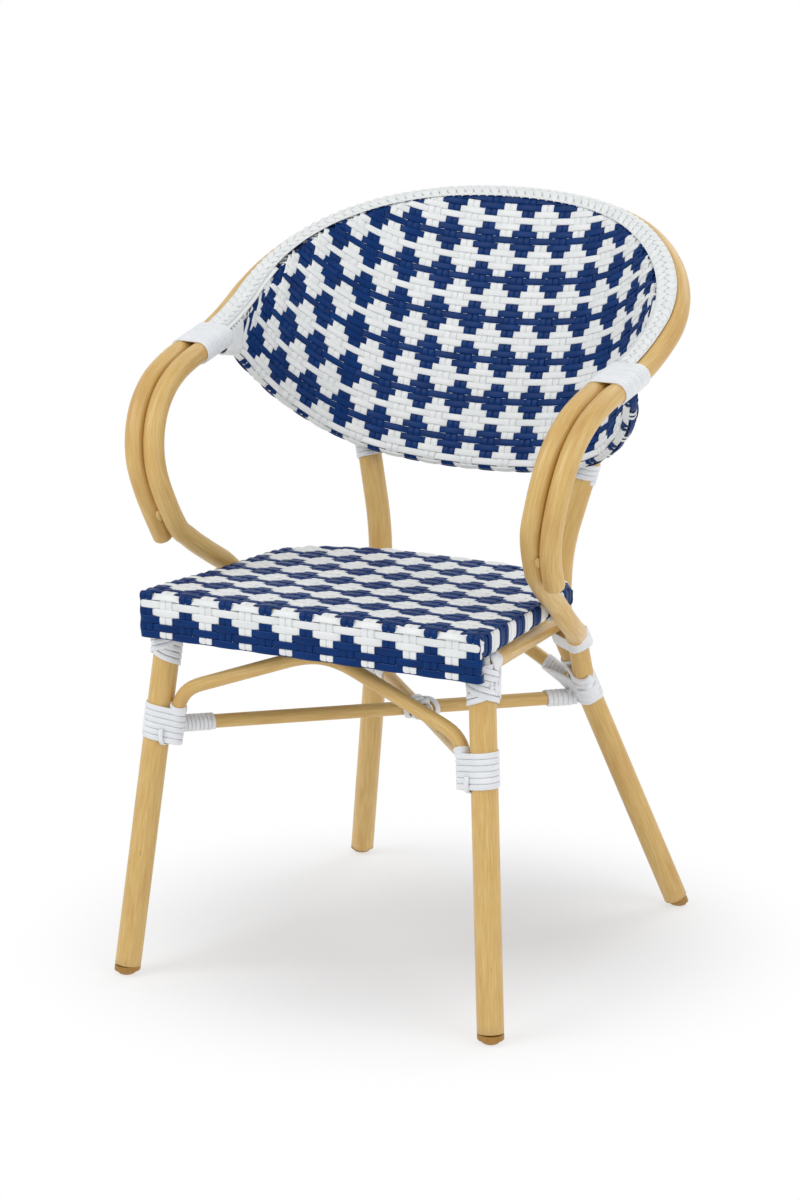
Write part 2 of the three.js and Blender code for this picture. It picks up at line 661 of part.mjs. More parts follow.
// Shares of half the rear width and of the seat's depth
const seatRearShares = [
  [1, seatSideShare], [0.965, 0.82], [0.83, 0.892], [0.65, 0.945], [0.47, 0.98], [0.24, 1], [0, 1.006],
];
const seatRearHalf = smooth(
  seatRearShares.map(([x, y]) => vec(x * seatRearHalfWidth, seatFrontEdge + y * seatDepth, 0)),
  (seatColumns - 1) / 2,
);
const seatFrontRow = Array.from({ length: seatColumns }, (_, u) =>
  vec(seatHalf * (1 - (2 * u) / (seatColumns - 1)), seatFrontEdge, 0));
const seatRearRow = acrossBoth(seatRearHalf);
const seatSide = sideShares.map((share) => seatFrontRow[0].clone().lerp(seatRearRow[0], share));
const seatEdge = [
  ...seatFrontRow, ...mirrored(seatSide, -1), ...[...seatRearRow].reverse(), ...[...seatSide].reverse(),
];
const seatAxes = crossAxes(seatEdge, up, true);
const seatInside = vec(0, seatFrontEdge + seatDepth / 2, 0);
const seatTurn = Math.sign(seatAxes[0].second.dot(seatEdge[0].clone().sub(seatInside)));
const seatMitre = seatEdge.map((p, i) => {
  const ahead = seatEdge[(i + 1) % seatEdge.length].clone().sub(p).normalize();
  return 1 / Math.abs(ahead.cross(seatAxes[i].second).z);
});
const seatSpot = (i, inset, z) =>
  seatEdge[i].clone().addScaledVector(seatAxes[i].second, -seatTurn * inset * seatMitre[i]).setZ(z);
const seatBase = (i) => (i < seatColumns ? seatHeight - seatApron : seatSkirtBase);
const roundShare = 1 - Math.SQRT1_2;
const seatProfiles = seatEdge.map((_, i) => {
  const base = seatBase(i);
  return [
    seatSpot(i, seatEdgeRound * roundShare, seatHeight - seatEdgeRound * roundShare),
    seatSpot(i, 0, seatHeight - seatEdgeRound),
    seatSpot(i, 0, base + seatSkin),
    seatSpot(i, seatSkin, base),
    seatSpot(i, seatLip, base),
    seatSpot(i, seatLip, base + seatSkin),
    seatSpot(i, seatSkin, base + seatSkin),
  ];
});
const seatGrid = (inset, z) =>
  gridBetween(seatEdge.map((_, i) => seatSpot(i, inset, z)), seatRows, seatColumns);
const seatTopGrid = seatGrid(seatEdgeRound, seatHeight);
const seatUnderGrid = seatGrid(seatSkin, seatHeight - seatSkin);
addMesh("seat_weave", panel(seatTopGrid, seatUnderGrid, seatProfiles), materials.weave);

const seatTubeInset = seatSkin + seatGap + seatTubeRadius;
const seatTubeHeight = seatHeight - seatTubeInset;
const seatFrameRoute = seatEdge.map((_, i) => seatSpot(i, seatTubeInset, seatTubeHeight));
addMesh("seat_frame", closedTube(seatFrameRoute, seatTubeRadius), materials.rod);
const apronInset = seatSkin + seatGap + apronRailRadius;
const apronHeight = seatHeight - seatApron + apronInset;
const apronHalf = seatHalf - seatLip - 2 * seatSkin;
const apronRoute = [1, -1].map((sign) => vec(sign * apronHalf, seatFrontEdge + apronInset, apronHeight));
addMesh("seat_apron_rail", tube(apronRoute, apronRailRadius, thin), materials.rod);

// Shell: the rod, the weave round it and the braid over the joint with the hoop

const lowerRow = acrossBoth(lowerHalf);
const upperRow = acrossBoth(upperHalf);
const shellColumns = lowerRow.length;
const shellRows = 4;
const tipShares = Array.from({ length: shellRows - 2 }, (_, v) => (v + 1) / (shellRows - 1));
const tipSide = tipShares.map((share) => lowerRow[0].clone().lerp(upperRow[0], share));
const shellEdge = [
  ...lowerRow, ...mirrored(tipSide, -1), ...[...upperRow].reverse(), ...[...tipSide].reverse(),
];
const frontOfShell = (p) => vec(-p.x / hoopHalf, -1, shellFacing);
const shellAxes = crossAxes(shellEdge, frontOfShell, true);
const downward = lowerRow[halfSteps].clone().sub(upperRow[halfSteps]);
const shellTurn = Math.sign(shellAxes[halfSteps].second.dot(downward));
const joinAngle = Math.asin(shellThickness / 2 / rimOuter);
const rimSpot = (i, angle, radius) => shellEdge[i].clone()
  .addScaledVector(shellAxes[i].second, -shellTurn * radius * Math.cos(angle))
  .addScaledVector(shellAxes[i].first, radius * Math.sin(angle));
const slitAngle = 2 * Math.PI - joinAngle - shellSlit / rimOuter;
const rimSteps = 6;
const rimProfiles = shellEdge.map((_, i) => {
  const outer = Array.from({ length: rimSteps }, (_, k) =>
    rimSpot(i, mix(joinAngle, slitAngle, (k + 1) / rimSteps), rimOuter));
  const inner = Array.from({ length: rimSteps + 1 }, (_, k) =>
    rimSpot(i, mix(slitAngle, -joinAngle, k / rimSteps), rimInner));
  return [...outer, ...inner];
});
const shellGrid = (angle) =>
  gridBetween(shellEdge.map((_, i) => rimSpot(i, angle, rimOuter)), shellRows, shellColumns);
addMesh("back_weave", panel(shellGrid(joinAngle), shellGrid(-joinAngle), rimProfiles), materials.weave);
addMesh("back_shell_rod", closedTube(shellEdge, shellRodRadius), materials.rod);
addMesh("back_braid", braid(), materials.white);

// Lashings

const span = (route, axis, from, to, radius) => ({
  from: pointAt(route, axis, from), to: pointAt(route, axis, to), radius,
});
const legSpan = (onLeg, from, to, radius) => ({ from: onLeg(from), to: onLeg(to), radius });

const legPitch = legStrand + turnGap;
const legTopWrapBase = frontLegTop.z - 2 * railRadius - 5 * legPitch - 2 * seatGap;
const railWrapStart = railRoute[0].clone().addScaledVector(railAlong, 2 * strandThickness);
const rearWrapBase = 0.66 * seatHeight;
const strapHeight = 0.78 * seatHeight;
const strapBulge = 1.35; // how much wider the slanting arm tube is inside its strap
const bandHeight = 0.755 * seatHeight;
const postWrapBase = shellRailHeight - rimOuter - 3 * legPitch;
const armFoot = armTubeRoute[armTubeRoute.length - 1];
const armShin = armTubeRoute[armTubeRoute.length - 2];
const armFootAt = (z) => armFoot.clone().lerp(armShin, (z - armFoot.z) / (armShin.z - armFoot.z));
const onPost = (z) => postBase.clone().lerp(postPass, (z - postBase.z) / (postPass.z - postBase.z));
const alongSpan = (start, direction, length, radius) => {
  const from = start.clone();
  return { from, to: from.clone().add(direction.clone().setLength(length)), radius };
};
const archSpan = (side, length) => alongSpan(side[0], side[1].clone().sub(side[0]), length, braceRadius);
const stretcherSpan = (share, way, length) => {
  const run = stretcherLine(1, 1).sub(stretcherLine(1, 0)).multiplyScalar(way);
  return alongSpan(stretcherLine(1, share), run, length, braceRadius);
};
const crossCentre = stretcherLine(1, crossShare);
const crossSpan = stretcherFront.x + stretcherRear.x;
const crossSlope = (stretcherRear.y - stretcherFront.y) / crossSpan;
const crossRadius = braceRadius * Math.hypot(1, crossSlope) + (crossSlope * legStrand) / 2 + 2 * seatGap;
const crossReach = 2 * legPitch;
const crossAt = (side, x) => stretcherLine(side, crossShare - (side * x) / crossSpan);
const crossLine = (side) => ({
  from: crossAt(side, -crossReach),
  to: crossAt(side, crossReach),
  radius: crossRadius,
});
const crossMiddle = {
  from: crossCentre.clone().setX(-crossReach),
  to: crossCentre.clone().setX(crossReach),
  radius: braceRadius,
};

for (const [side, sign] of Object.entries(bothSides)) {
  const wrap = (name, settings) =>
    addMesh(`${name}_${side}`, lashing(`${name}_${side}`, { ...settings, sign }), materials.white);
  const steps = sleeveSteps;
  wrap("arm_wrap", {
    tubes: [
      span(hoopRoute, "y", armWrapStart, armWrapEnd, armRadius),
      span(armTubeRoute, "y", armWrapStart, armWrapEnd, armRadius + seatGap),
    ],
    turns: 8,
    width: armStrand,
    slack: 3 * seatGap,
  });
  wrap("front_leg_top_wrap", {
    tubes: [legSpan(onFrontLeg, legTopWrapBase, legTopWrapBase + 5 * legPitch, frontLegRadius)],
    turns: 5,
    width: legStrand,
    steps,
  });
  wrap("rail_wrap", {
    tubes: [alongSpan(railWrapStart, railAlong, 3 * legPitch, railRadius)],
    turns: 3,
    width: legStrand,
    steps,
  });
  wrap("front_brace_wrap", {
    tubes: [
      legSpan(onFrontLeg, braceBottom + seatGap, braceTop, frontLegRadius),
      legSpan((z) => beside(onFrontLeg, z, frontArchGap), braceBottom + seatGap, braceTop, braceRadius),
    ],
    turns: 6,
    width: legStrand,
  });
  wrap("rear_brace_wrap", {
    tubes: [
      legSpan(onRearLeg, rearWrapBase, rearWrapBase + 4 * legPitch, rearLegRadius),
      {
        from: armFootAt(rearWrapBase),
        to: armFootAt(rearWrapBase + 4 * legPitch),
        radius: armRadius + 3 * seatGap,
      },
    ],
    turns: 4,
    width: legStrand,
    tilt: legStrand / 2,
    slack: 3 * seatGap,
  });
  wrap("rear_arch_wrap", {
    tubes: [archSpan(rearArchSide, 4 * legPitch)],
    turns: 4,
    width: legStrand,
    steps: thinSleeveSteps,
  });
  wrap("back_post_wrap", {
    tubes: [{ from: onPost(postWrapBase), to: onPost(postWrapBase + 3 * legPitch), radius: rearLegRadius }],
    turns: 3,
    width: legStrand,
    steps,
    slack: 2 * seatGap,
  });
  wrap("stretcher_front_wrap", {
    tubes: [stretcherSpan(frontInset, 1, 8 * (sleeveStrand + turnGap))],
    turns: 8,
    width: sleeveStrand,
    steps: thinSleeveSteps,
  });
  wrap("stretcher_rear_wrap", {
    tubes: [stretcherSpan(1 - rearInset, -1, 5 * legPitch)],
    turns: 5,
    width: legStrand,
    steps: thinSleeveSteps,
  });
  addMesh(`arm_strap_${side}`, strap({
    tubes: [
      legSpan(onRearLeg, strapHeight - strapWidth, strapHeight + strapWidth, rearLegRadius + seatGap),
      span(armTubeRoute, "z", strapHeight, strapHeight, armRadius * strapBulge),
    ],
    width: strapWidth,
    sign,
  }), materials.white);
  addMesh(`rear_leg_band_${side}`, strap({
    tubes: [legSpan(onRearLeg, bandHeight - smallBandWidth, bandHeight + smallBandWidth, rearLegRadius)],
    width: smallBandWidth,
    sign,
  }), materials.white);
}
addMesh("cross_wrap", lashing("cross_wrap", {
  tubes: [crossMiddle, crossLine(1), crossLine(-1)],
  turns: 4,
  width: legStrand,
  flat: (braceRadius + 2 * lashingRise) / (crossRadius + 2 * lashingRise),
}), materials.white);

// The origin goes to the middle of the chair's box, on the floor
const box = new THREE.Box3().setFromObject(chair);
const toOrigin = vec((box.min.x + box.max.x) / -2, (box.min.y + box.max.y) / -2, -box.min.z);
chair.children.forEach((mesh) => mesh.geometry.translate(...toOrigin.toArray()));

export default chair;
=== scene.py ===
# %% [markdown]
# # A woven bistro armchair
# The chair has a frame of painted metal tube, a woven seat and a woven back. The CAD model gives every piece
# its place and its size. This lesson dresses it: smooth painted tubes, real strands over and under each
# other, a braid round the back and wound lashings at the joints. Everything is in metres.

# %% Load the frame
import math
from collections import namedtuple
import bpy
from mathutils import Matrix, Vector


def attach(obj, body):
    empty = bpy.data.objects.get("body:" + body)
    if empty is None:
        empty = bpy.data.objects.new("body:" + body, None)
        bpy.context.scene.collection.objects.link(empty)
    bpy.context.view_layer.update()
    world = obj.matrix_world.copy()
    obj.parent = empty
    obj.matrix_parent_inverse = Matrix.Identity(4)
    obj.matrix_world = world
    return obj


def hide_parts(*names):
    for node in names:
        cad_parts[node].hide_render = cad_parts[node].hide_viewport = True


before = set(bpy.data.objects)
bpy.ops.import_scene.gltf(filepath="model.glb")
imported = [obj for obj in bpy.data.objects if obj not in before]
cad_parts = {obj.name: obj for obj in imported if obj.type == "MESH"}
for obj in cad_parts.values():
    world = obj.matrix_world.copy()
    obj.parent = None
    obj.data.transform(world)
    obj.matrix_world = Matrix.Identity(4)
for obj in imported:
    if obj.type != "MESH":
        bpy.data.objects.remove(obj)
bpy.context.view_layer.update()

# %% [markdown]
# The camera comes first, because every piece is judged from it. It was fitted to the straight legs and the
# level seat: it stands in front of the chair, on the sitter's left, and looks down a little. A long lens
# keeps the legs almost parallel, as in a catalogue picture.

# %% Camera
CAMERA_PLACE = (1.9763, -3.66725, 1.4546)
CAMERA_TURN = 28.58
CAMERA_DIP = 14.06
LENS = 111.99
SENSOR_WIDTH = 36
FARTHEST = 50


def add_object(name, data):
    made = bpy.data.objects.new(name, data)
    bpy.context.collection.objects.link(made)
    return made


camera_data = bpy.data.cameras.new("camera")
camera_data.sensor_width = SENSOR_WIDTH
camera_data.lens = LENS
camera_data.clip_end = FARTHEST
camera = add_object("camera", camera_data)
camera.location = CAMERA_PLACE
camera.rotation_euler = (math.radians(90 - CAMERA_DIP), 0, math.radians(CAMERA_TURN))
bpy.context.scene.camera = camera
print("camera at", CAMERA_PLACE)

# %% [markdown]
# Next come the measures that more than one piece needs. The chair's drawing counts depth from the front feet,
# and the model's origin lies under the middle of the chair, so one function moves a point from the one to the
# other and from millimetres to metres. The small functions beside it are used all through the lesson.

# %% Measures
MM = 0.001
FRONT_FEET = 263.45


def place(x, y, z):
    return Vector((x, y - FRONT_FEET, z)) * MM


def mirror(points, side):
    return [Vector((p.x * side, p.y, p.z)) for p in points]


def clamped(value):
    return min(1.0, max(0.0, value))


def eased(share):
    """A share from 0 to 1 that starts and ends gently."""
    return share * share * (3 - 2 * share)


def turned(vector, axis, sign=1):
    """The vector or its opposite, whichever points the given way along an axis."""
    return vector if vector[axis] * sign >= 0 else -vector


SIDES = {"left": 1, "right": -1}
X, Y, Z = 0, 1, 2
UP = Vector((0, 0, 1))

# %% [markdown]
# A bent tube follows a smooth line through a few points. A Catmull-Rom spline goes through every one of them,
# and its centripetal form doesn't overshoot where they lie close together. A straight tube with a bend or two
# is drawn as straight runs with rounded corners instead.

# %% Routes


def spline(points, steps):
    ends = [points[0] * 2 - points[1]] + list(points) + [points[-1] * 2 - points[-2]]
    route = []
    for i in range(1, len(ends) - 2):
        p0, p1, p2, p3 = ends[i - 1:i + 3]
        t0 = 0.0
        t1 = t0 + math.sqrt((p1 - p0).length)
        t2 = t1 + math.sqrt((p2 - p1).length)
        t3 = t2 + math.sqrt((p3 - p2).length)
        for k in range(steps):
            t = t1 + (t2 - t1) * k / steps
            a1 = p0.lerp(p1, (t - t0) / (t1 - t0))
            a2 = p1.lerp(p2, (t - t1) / (t2 - t1))
            a3 = p2.lerp(p3, (t - t2) / (t3 - t2))
            b1 = a1.lerp(a2, (t - t0) / (t2 - t0))
            b2 = a2.lerp(a3, (t - t1) / (t3 - t1))
            route.append(b1.lerp(b2, (t - t1) / (t2 - t1)))
    return route + [points[-1].copy()]


def rounded(points, rounding, steps=8):
    route = [points[0].copy()]
    for before, corner, after in zip(points, points[1:], points[2:]):
        reach_in = min(rounding, (before - corner).length / 2)
        reach_out = min(rounding, (after - corner).length / 2)
        enter = corner + (before - corner).normalized() * reach_in
        leave = corner + (after - corner).normalized() * reach_out
        for k in range(steps + 1):
            t = k / steps
            route.append(enter.lerp(corner, t).lerp(corner.lerp(leave, t), t))
    return route + [points[-1].copy()]


def evenly(route, spacing):
    lengths = [0.0]
    for a, b in zip(route, route[1:]):
        lengths.append(lengths[-1] + (b - a).length)
    count = max(2, round(lengths[-1] / spacing))
    result = []
    at = 0
    for k in range(count + 1):
        wanted = lengths[-1] * k / count
        while at < len(route) - 2 and lengths[at + 1] < wanted:
            at += 1
        run = lengths[at + 1] - lengths[at]
        result.append(route[at].lerp(route[at + 1], (wanted - lengths[at]) / run if run else 0))
    return result


# %% [markdown]
# Tubes and strands are all one shape drawn along a route. The maker below carries a pair of axes along the
# route without twist, sets the outline square to it at each point, and joins the outlines with faces. It also
# writes a UV map in metres, along and round the piece, so that grain and fine lines can follow every bend.
# Edit-mode tools have no such map, which is why these pieces are made in mesh code. A second map holds the
# place in the outline, so that a grain can close on itself round a tube without a seam.

# %% Sweeping an outline along a route


def route_axes(points, normals=None, closed=False):
    axes = []
    carried = None
    last = len(points) - 1
    for i, p in enumerate(points):
        before = points[i - 1] if i else (points[last] if closed else p)
        after = points[i + 1] if i < last else (points[0] if closed else p)
        along = (after - before).normalized()
        if normals is not None:
            wanted = normals[i]
        elif carried is None:
            wanted = UP if abs(along.z) < 0.8 else Vector((0, 1, 0))
        else:
            wanted = carried
        across = (wanted - along * wanted.dot(along)).normalized()
        carried = across
        axes.append((along, across, along.cross(across)))
    return axes


class Skin:
    """Gathers swept shapes into one mesh with a UV map and a material number for each face."""

    def __init__(self):
        self.points = []
        self.faces = []
        self.maps = []
        self.rings = []
        self.slots = []

    def face(self, corners, spots, rings, slot):
        self.faces.append(corners)
        self.maps.extend(spots)
        self.rings.extend(rings)
        self.slots.append(slot)

    def sweep(self, points, outline, normals=None, slot=0, closed=False, sizes=None, widths=None, shift=0.0):
        """Draws an outline of (out, sideways) pairs along the points, with a size and a width for each."""
        axes = route_axes(points, normals, closed)
        rounds = len(outline)
        girth = [0.0]
        for (a, b), (c, d) in zip(outline, outline[1:] + outline[:1]):
            girth.append(girth[-1] + math.hypot(c - a, d - b))
        start = len(self.points)
        travelled = [shift]
        for a, b in zip(points, points[1:]):
            travelled.append(travelled[-1] + (b - a).length)
        for i, p in enumerate(points):
            size = sizes[i] if sizes else 1.0
            width = size * widths[i] if widths else size
            for out, sideways in outline:
                self.points.append(p + axes[i][1] * out * size + axes[i][2] * sideways * width)
        count = len(points)
        for i in range(count if closed else count - 1):
            j = (i + 1) % count
            far = travelled[i + 1] if i + 1 < count else travelled[i] + (points[0] - points[i]).length
            for k in range(rounds):
                m = (k + 1) % rounds
                corners = (start + i * rounds + k, start + i * rounds + m,
                           start + j * rounds + m, start + j * rounds + k)
                spots = ((travelled[i], girth[k]), (travelled[i], girth[k + 1]),
                         (far, girth[k + 1]), (far, girth[k]))
                self.face(corners, spots, (outline[k], outline[m], outline[m], outline[k]), slot)
        if not closed:
            for i, order in ((0, range(rounds - 1, -1, -1)), (count - 1, range(rounds))):
                corners = tuple(start + i * rounds + k for k in order)
                self.face(corners, [(travelled[i], girth[k]) for k in order], [outline[k] for k in order], slot)

    def build(self, name, materials):
        mesh = bpy.data.meshes.new(name)
        mesh.from_pydata([tuple(p) for p in self.points], [], self.faces)
        for layer_name, values in (("route", self.maps), ("ring", self.rings)):
            layer = mesh.uv_layers.new(name=layer_name)
            layer.data.foreach_set("uv", [value for pair in values for value in pair])
        for material in materials:
            mesh.materials.append(material)
        mesh.polygons.foreach_set("material_index", self.slots)
        mesh.polygons.foreach_set("use_smooth", [True] * len(self.faces))
        mesh.update()
        return add_object(name, mesh)


def circle(radius, sides=32):
    return [(radius * math.cos(2 * math.pi * k / sides), radius * math.sin(2 * math.pi * k / sides))
            for k in range(sides)]


def finish_piece(piece, slot, *nodes):
    """Makes a piece ride on the chair and lets it stand for CAD nodes. The slot, its finish's name, is not
    used.
    """
    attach(piece, "root")
    if nodes:
        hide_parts(*nodes)
    faces = sum(len(p.vertices) - 2 for p in piece.data.polygons)
    print(f"{piece.name}: {faces} triangles")


# %% [markdown]
# Materials are built from nodes. One function adds a node, sets its values and links its inputs, and one
# turns a written colour into the linear numbers that the renderer wants. The last one dresses a shader: a
# colour, a relief that only bends the light, and plain numbers for the rest.

# %% Material helpers


def colour(code):
    parts = [int(code[i:i + 2], 16) / 255 for i in (1, 3, 5)]
    linear = [p / 12.92 if p <= 0.04045 else ((p + 0.055) / 1.055) ** 2.4 for p in parts]
    return (*linear, 1.0)


def node(tree, kind, settings=None, links=None):
    """Adds a node. An input goes by its name, or by its number where names repeat or are missing."""
    made = tree.nodes.new(kind)
    for key, value in (settings or {}).items():
        if key.startswith("in:"):
            name = key[3:]
            made.inputs[int(name) if name.isdigit() else name].default_value = value
        else:
            setattr(made, key, value)
    for key, source in (links or {}).items():
        tree.links.new(source, made.inputs[key])
    return made


def new_material(name):
    material = bpy.data.materials.new(name)
    material.use_nodes = True
    tree = material.node_tree
    shader = tree.nodes["Principled BSDF"]
    return material, tree, shader


def ramped(tree, source, stops):
    """Turns a number into a colour by stops of (position, colour)."""
    made = node(tree, "ShaderNodeValToRGB", {}, {"Fac": source})
    elements = made.color_ramp.elements
    while len(elements) > 1:
        elements.remove(elements[-1])
    elements[0].position, elements[0].color = stops[0]
    for position, value in stops[1:]:
        elements.new(position).color = value
    return made.outputs["Color"]


def noise(tree, source, scale, settings):
    stretched = node(tree, "ShaderNodeMapping", {"in:Scale": scale}, {"Vector": source})
    made = node(tree, "ShaderNodeTexNoise", {"in:Scale": 1.0, **settings}, {"Vector": stretched.outputs[0]})
    return made.outputs["Fac"]


def dress(tree, shader, tone, relief, strength, depth, values):
    tree.links.new(tone, shader.inputs["Base Color"])
    bump = node(tree, "ShaderNodeBump", {"in:Strength": strength, "in:Distance": depth}, {"Height": relief})
    tree.links.new(bump.outputs[0], shader.inputs["Normal"])
    for name, value in values.items():
        shader.inputs[name].default_value = value


# %% [markdown]
# The frame is aluminium tube with a painted bamboo finish: a straw-coloured base coat with a second coat
# dragged along the tube by hand, then lacquered. What the eye sees is fine streaks along the tube, broad
# darker and more orange patches, and a few thin brown dashes. All of them follow the tube, so they read the
# route's maps: the distance along it, and the place in its round outline.

# %% Bamboo paint
bamboo, tree, shader = new_material("hand_dragged_bamboo_paint")
BLACK_STOP, WHITE_STOP = (0, 0, 0, 1), (1, 1, 1, 1)
along_map, ring_map = (
    node(tree, "ShaderNodeSeparateXYZ", {}, {
        "Vector": node(tree, "ShaderNodeUVMap", {"uv_map": name}).outputs[0]})
    for name in ("route", "ring"))
grain_map = node(tree, "ShaderNodeCombineXYZ", {}, {
    "X": along_map.outputs["X"], "Y": ring_map.outputs["X"], "Z": ring_map.outputs["Y"]}).outputs[0]


def overlay(base, mask, low, high, share, code):
    """Lays a colour over a base where a noise rises from low to high."""
    shown = ramped(tree, mask, [(low, BLACK_STOP), (high, WHITE_STOP)])
    weight = node(tree, "ShaderNodeMath", {"operation": "MULTIPLY", "in:1": share}, {0: shown})
    return node(tree, "ShaderNodeMix", {"data_type": "RGBA", "in:7": colour(code)},
                {"Factor": weight.outputs[0], 6: base}).outputs[2]


# Streaks about 1 mm wide and 30 mm long, patches 15 mm by 60 mm, and dashes 1.5 mm by 10 mm
streaks = noise(tree, grain_map, (30, 700, 700), {"in:Detail": 4.0, "in:Roughness": 0.6})
patches = noise(tree, grain_map, (14, 50, 50), {"in:Detail": 3.0})
dashes = noise(tree, grain_map, (70, 480, 480), {"in:Detail": 2.0, "in:Roughness": 0.45})
paint = ramped(tree, streaks, [(0.3, colour("#c69f58")), (0.5, colour("#d0ac67")), (0.72, colour("#dcbd7e"))])
paint = overlay(paint, patches, 0.5, 0.72, 0.4, "#b98645")
paint = overlay(paint, dashes, 0.74, 0.79, 0.75, "#5d3c1b")
dress(tree, shader, paint, streaks, 0.12, 0.0003,
      {"Roughness": 0.4, "IOR": 1.48, "Coat Weight": 0.12, "Coat Roughness": 0.25})
print("bamboo paint:", len(tree.nodes), "nodes")

# %% [markdown]
# The strands are extruded polyethylene, coloured right through. Extrusion leaves faint lines along a strand
# and a soft satin sheen. The weave uses a warm white and a navy blue, and the lashings a slightly cooler
# white. One function makes the three, with the lines across the UV map's second direction.

# %% Strand plastics


def strand_plastic(name, base, shade, roughness, specular):
    material, tree, shader = new_material(name)
    route_map = node(tree, "ShaderNodeUVMap", {"uv_map": "route"}).outputs[0]
    # Die lines about 0.6 mm apart, drawn 60 mm long, and slow changes of tone, about 40 mm long
    lines = noise(tree, route_map, (16, 1600, 1), {"in:Detail": 2.0})
    tones = noise(tree, route_map, (25, 60, 1), {"in:Detail": 2.0})
    tone = ramped(tree, tones, [(0.35, colour(shade)), (0.65, colour(base))])
    dress(tree, shader, tone, lines, 0.1, 0.0002, {"Roughness": roughness, "Specular IOR Level": specular})
    return material


warm_white = strand_plastic("white_polyethylene_strand", "#eaecec", "#e0e3e4", 0.42, 0.36)
navy = strand_plastic("navy_polyethylene_strand", "#05336f", "#04295d", 0.38, 0.12)
cool_white = strand_plastic("white_polyethylene_lashing", "#e8eaed", "#dfe2e6", 0.45, 0.36)
print("strand plastics:", warm_white.name, navy.name, cool_white.name)

# %% [markdown]
# Two plainer materials finish the fittings. The glides are moulded in a tan plastic with a faint mottle, and
# the hidden rods that carry the weave are bare drawn aluminium. Both read object coordinates, because neither
# piece has a route.

# %% Fittings' materials


def mottled(name, scale, low, high, roughness, metallic):
    material, tree, shader = new_material(name)
    mottle = noise(tree, node(tree, "ShaderNodeTexCoord").outputs["Object"], scale, {"in:Detail": 5.0})
    tone = ramped(tree, mottle, [(0.35, colour(low)), (0.65, colour(high))])
    dress(tree, shader, tone, mottle, 0.1, 0.0002, {"Roughness": roughness, "Metallic": metallic})
    return material


# A grain of about 2 mm in the plastic, and drawing lines about 1 mm apart in the metal
glide_plastic = mottled("moulded_tan_plastic", (500, 500, 500), "#94692a", "#a87c35", 0.5, 0.0)
bare_rod = mottled("drawn_aluminium_rod", (60, 900, 900), "#9fa1a3", "#b4b6b8", 0.35, 1.0)
for name in ("seat_frame", "seat_apron_rail", "back_shell_rod"):
    hidden = bpy.data.objects[name]
    for slot in hidden.material_slots:
        slot.material = bare_rod
print("fittings:", glide_plastic.name, bare_rod.name)

# %% [markdown]
# The outer arm tube is one long hoop: up from beside the seat, along both arms and round the back. Half of it
# is given, and the other half is its mirror. Its two ends are closed with rounded caps, as the welded and
# painted ends of the real tube are.

# %% The hoop


def capped(route, radius, first, last, steps=5):
    """Closes the tube's ends with shrinking rings, in domes as high as the given shares of its radius."""
    def dome(end, along, share):
        rings = []
        for k in range(1, steps + 1):
            turn = math.radians(86) * k / steps
            rings.append((end + along * radius * share * math.sin(turn), math.cos(turn)))
        return rings

    before = dome(route[0], (route[0] - route[1]).normalized(), first)
    after = dome(route[-1], (route[-1] - route[-2]).normalized(), last)
    rings = before[::-1] + [(p, 1.0) for p in route] + after
    return [p for p, _ in rings], [size for _, size in rings]


def add_tube(name, nodes, route, radius, first=0.35, last=0.35, sides=28, shift=0.0):
    skin = Skin()
    points, sizes = capped(route, radius, first, last)
    skin.sweep(points, circle(radius, sides), sizes=sizes, shift=shift)
    piece = skin.build(name, [bamboo])
    finish_piece(piece, "bamboo_paint", *nodes)


HOOP_RADIUS = 12 * MM
HOOP_SIDE = [
    (249.1, 115.3, 490), (252.1, 99.5, 519.9), (258, 89.4, 550), (264.4, 86.2, 579.9), (269.1, 92, 610),
    (272.4, 107.9, 639.9), (274.9, 137, 665), (276.3, 179.9, 682.1), (277.4, 222.2, 691), (278, 269.8, 701.6),
    (278.6, 313.2, 718.2), (277.7, 352.3, 738.7), (268.3, 388, 760.8), (248, 423.2, 783.6),
    (215.7, 458.1, 804.9), (172.4, 490.9, 821.8), (119.8, 515.2, 833.2), (61.4, 526.6, 839.7),
]
hoop_side = [place(*p) for p in HOOP_SIDE]
hoop_points = hoop_side + [place(0, 529, 842)] + mirror(reversed(hoop_side), -1)
hoop_route = evenly(spline(hoop_points, 12), 5 * MM)
add_tube("hoop_tube", ["back_hoop"], hoop_route, HOOP_RADIUS, 0.55, 0.55)

# %% [markdown]
# The inner arm tube runs beside the hoop, touching it, and leaves it above the seat to go back past the
# seat's side and down to the rear leg.

# %% Inner arm tubes
ARM_PITCH = 24.8 * MM
ARM_TOP = (257.8 - FRONT_FEET) * MM
ARM_PARTING = 517 * MM
ARM_END = [
    (226.6, 114.8, 500), (221.6, 140.7, 480.2), (216.3, 172.5, 459.9), (214.1, 190.4, 449.1),
    (210.7, 222.2, 424.8), (204.3, 253.9, 405.9), (191.8, 289.9, 390.6), (175.7, 323.7, 381.2),
    (163.7, 346.5, 376.2), (154.6, 363, 369),
]
ARM_FOOT = [(154.6, 363, 369), (151.4, 381.5, 344), (152, 391.5, 314.5)]

half_hoop = hoop_route[:len(hoop_route) // 2]
beside = [p - Vector((ARM_PITCH, 0, 0)) for p in half_hoop if p.y < ARM_TOP and p.z > ARM_PARTING]
beside.reverse()
arm_end = spline([place(*p) for p in ARM_END], 10)
arm_foot = rounded([place(*p) for p in ARM_FOOT], 16 * MM)
arm_route = evenly(spline([beside[0], *beside[4:-3:6], *arm_end[::5], *arm_foot[1:]], 6), 5 * MM)
for side, sign in SIDES.items():
    add_tube(f"inner_arm_{side}", [f"arm_tube_{side}"], mirror(arm_route, sign), HOOP_RADIUS, 0.5, 0.75,
             shift=2.1 + sign)

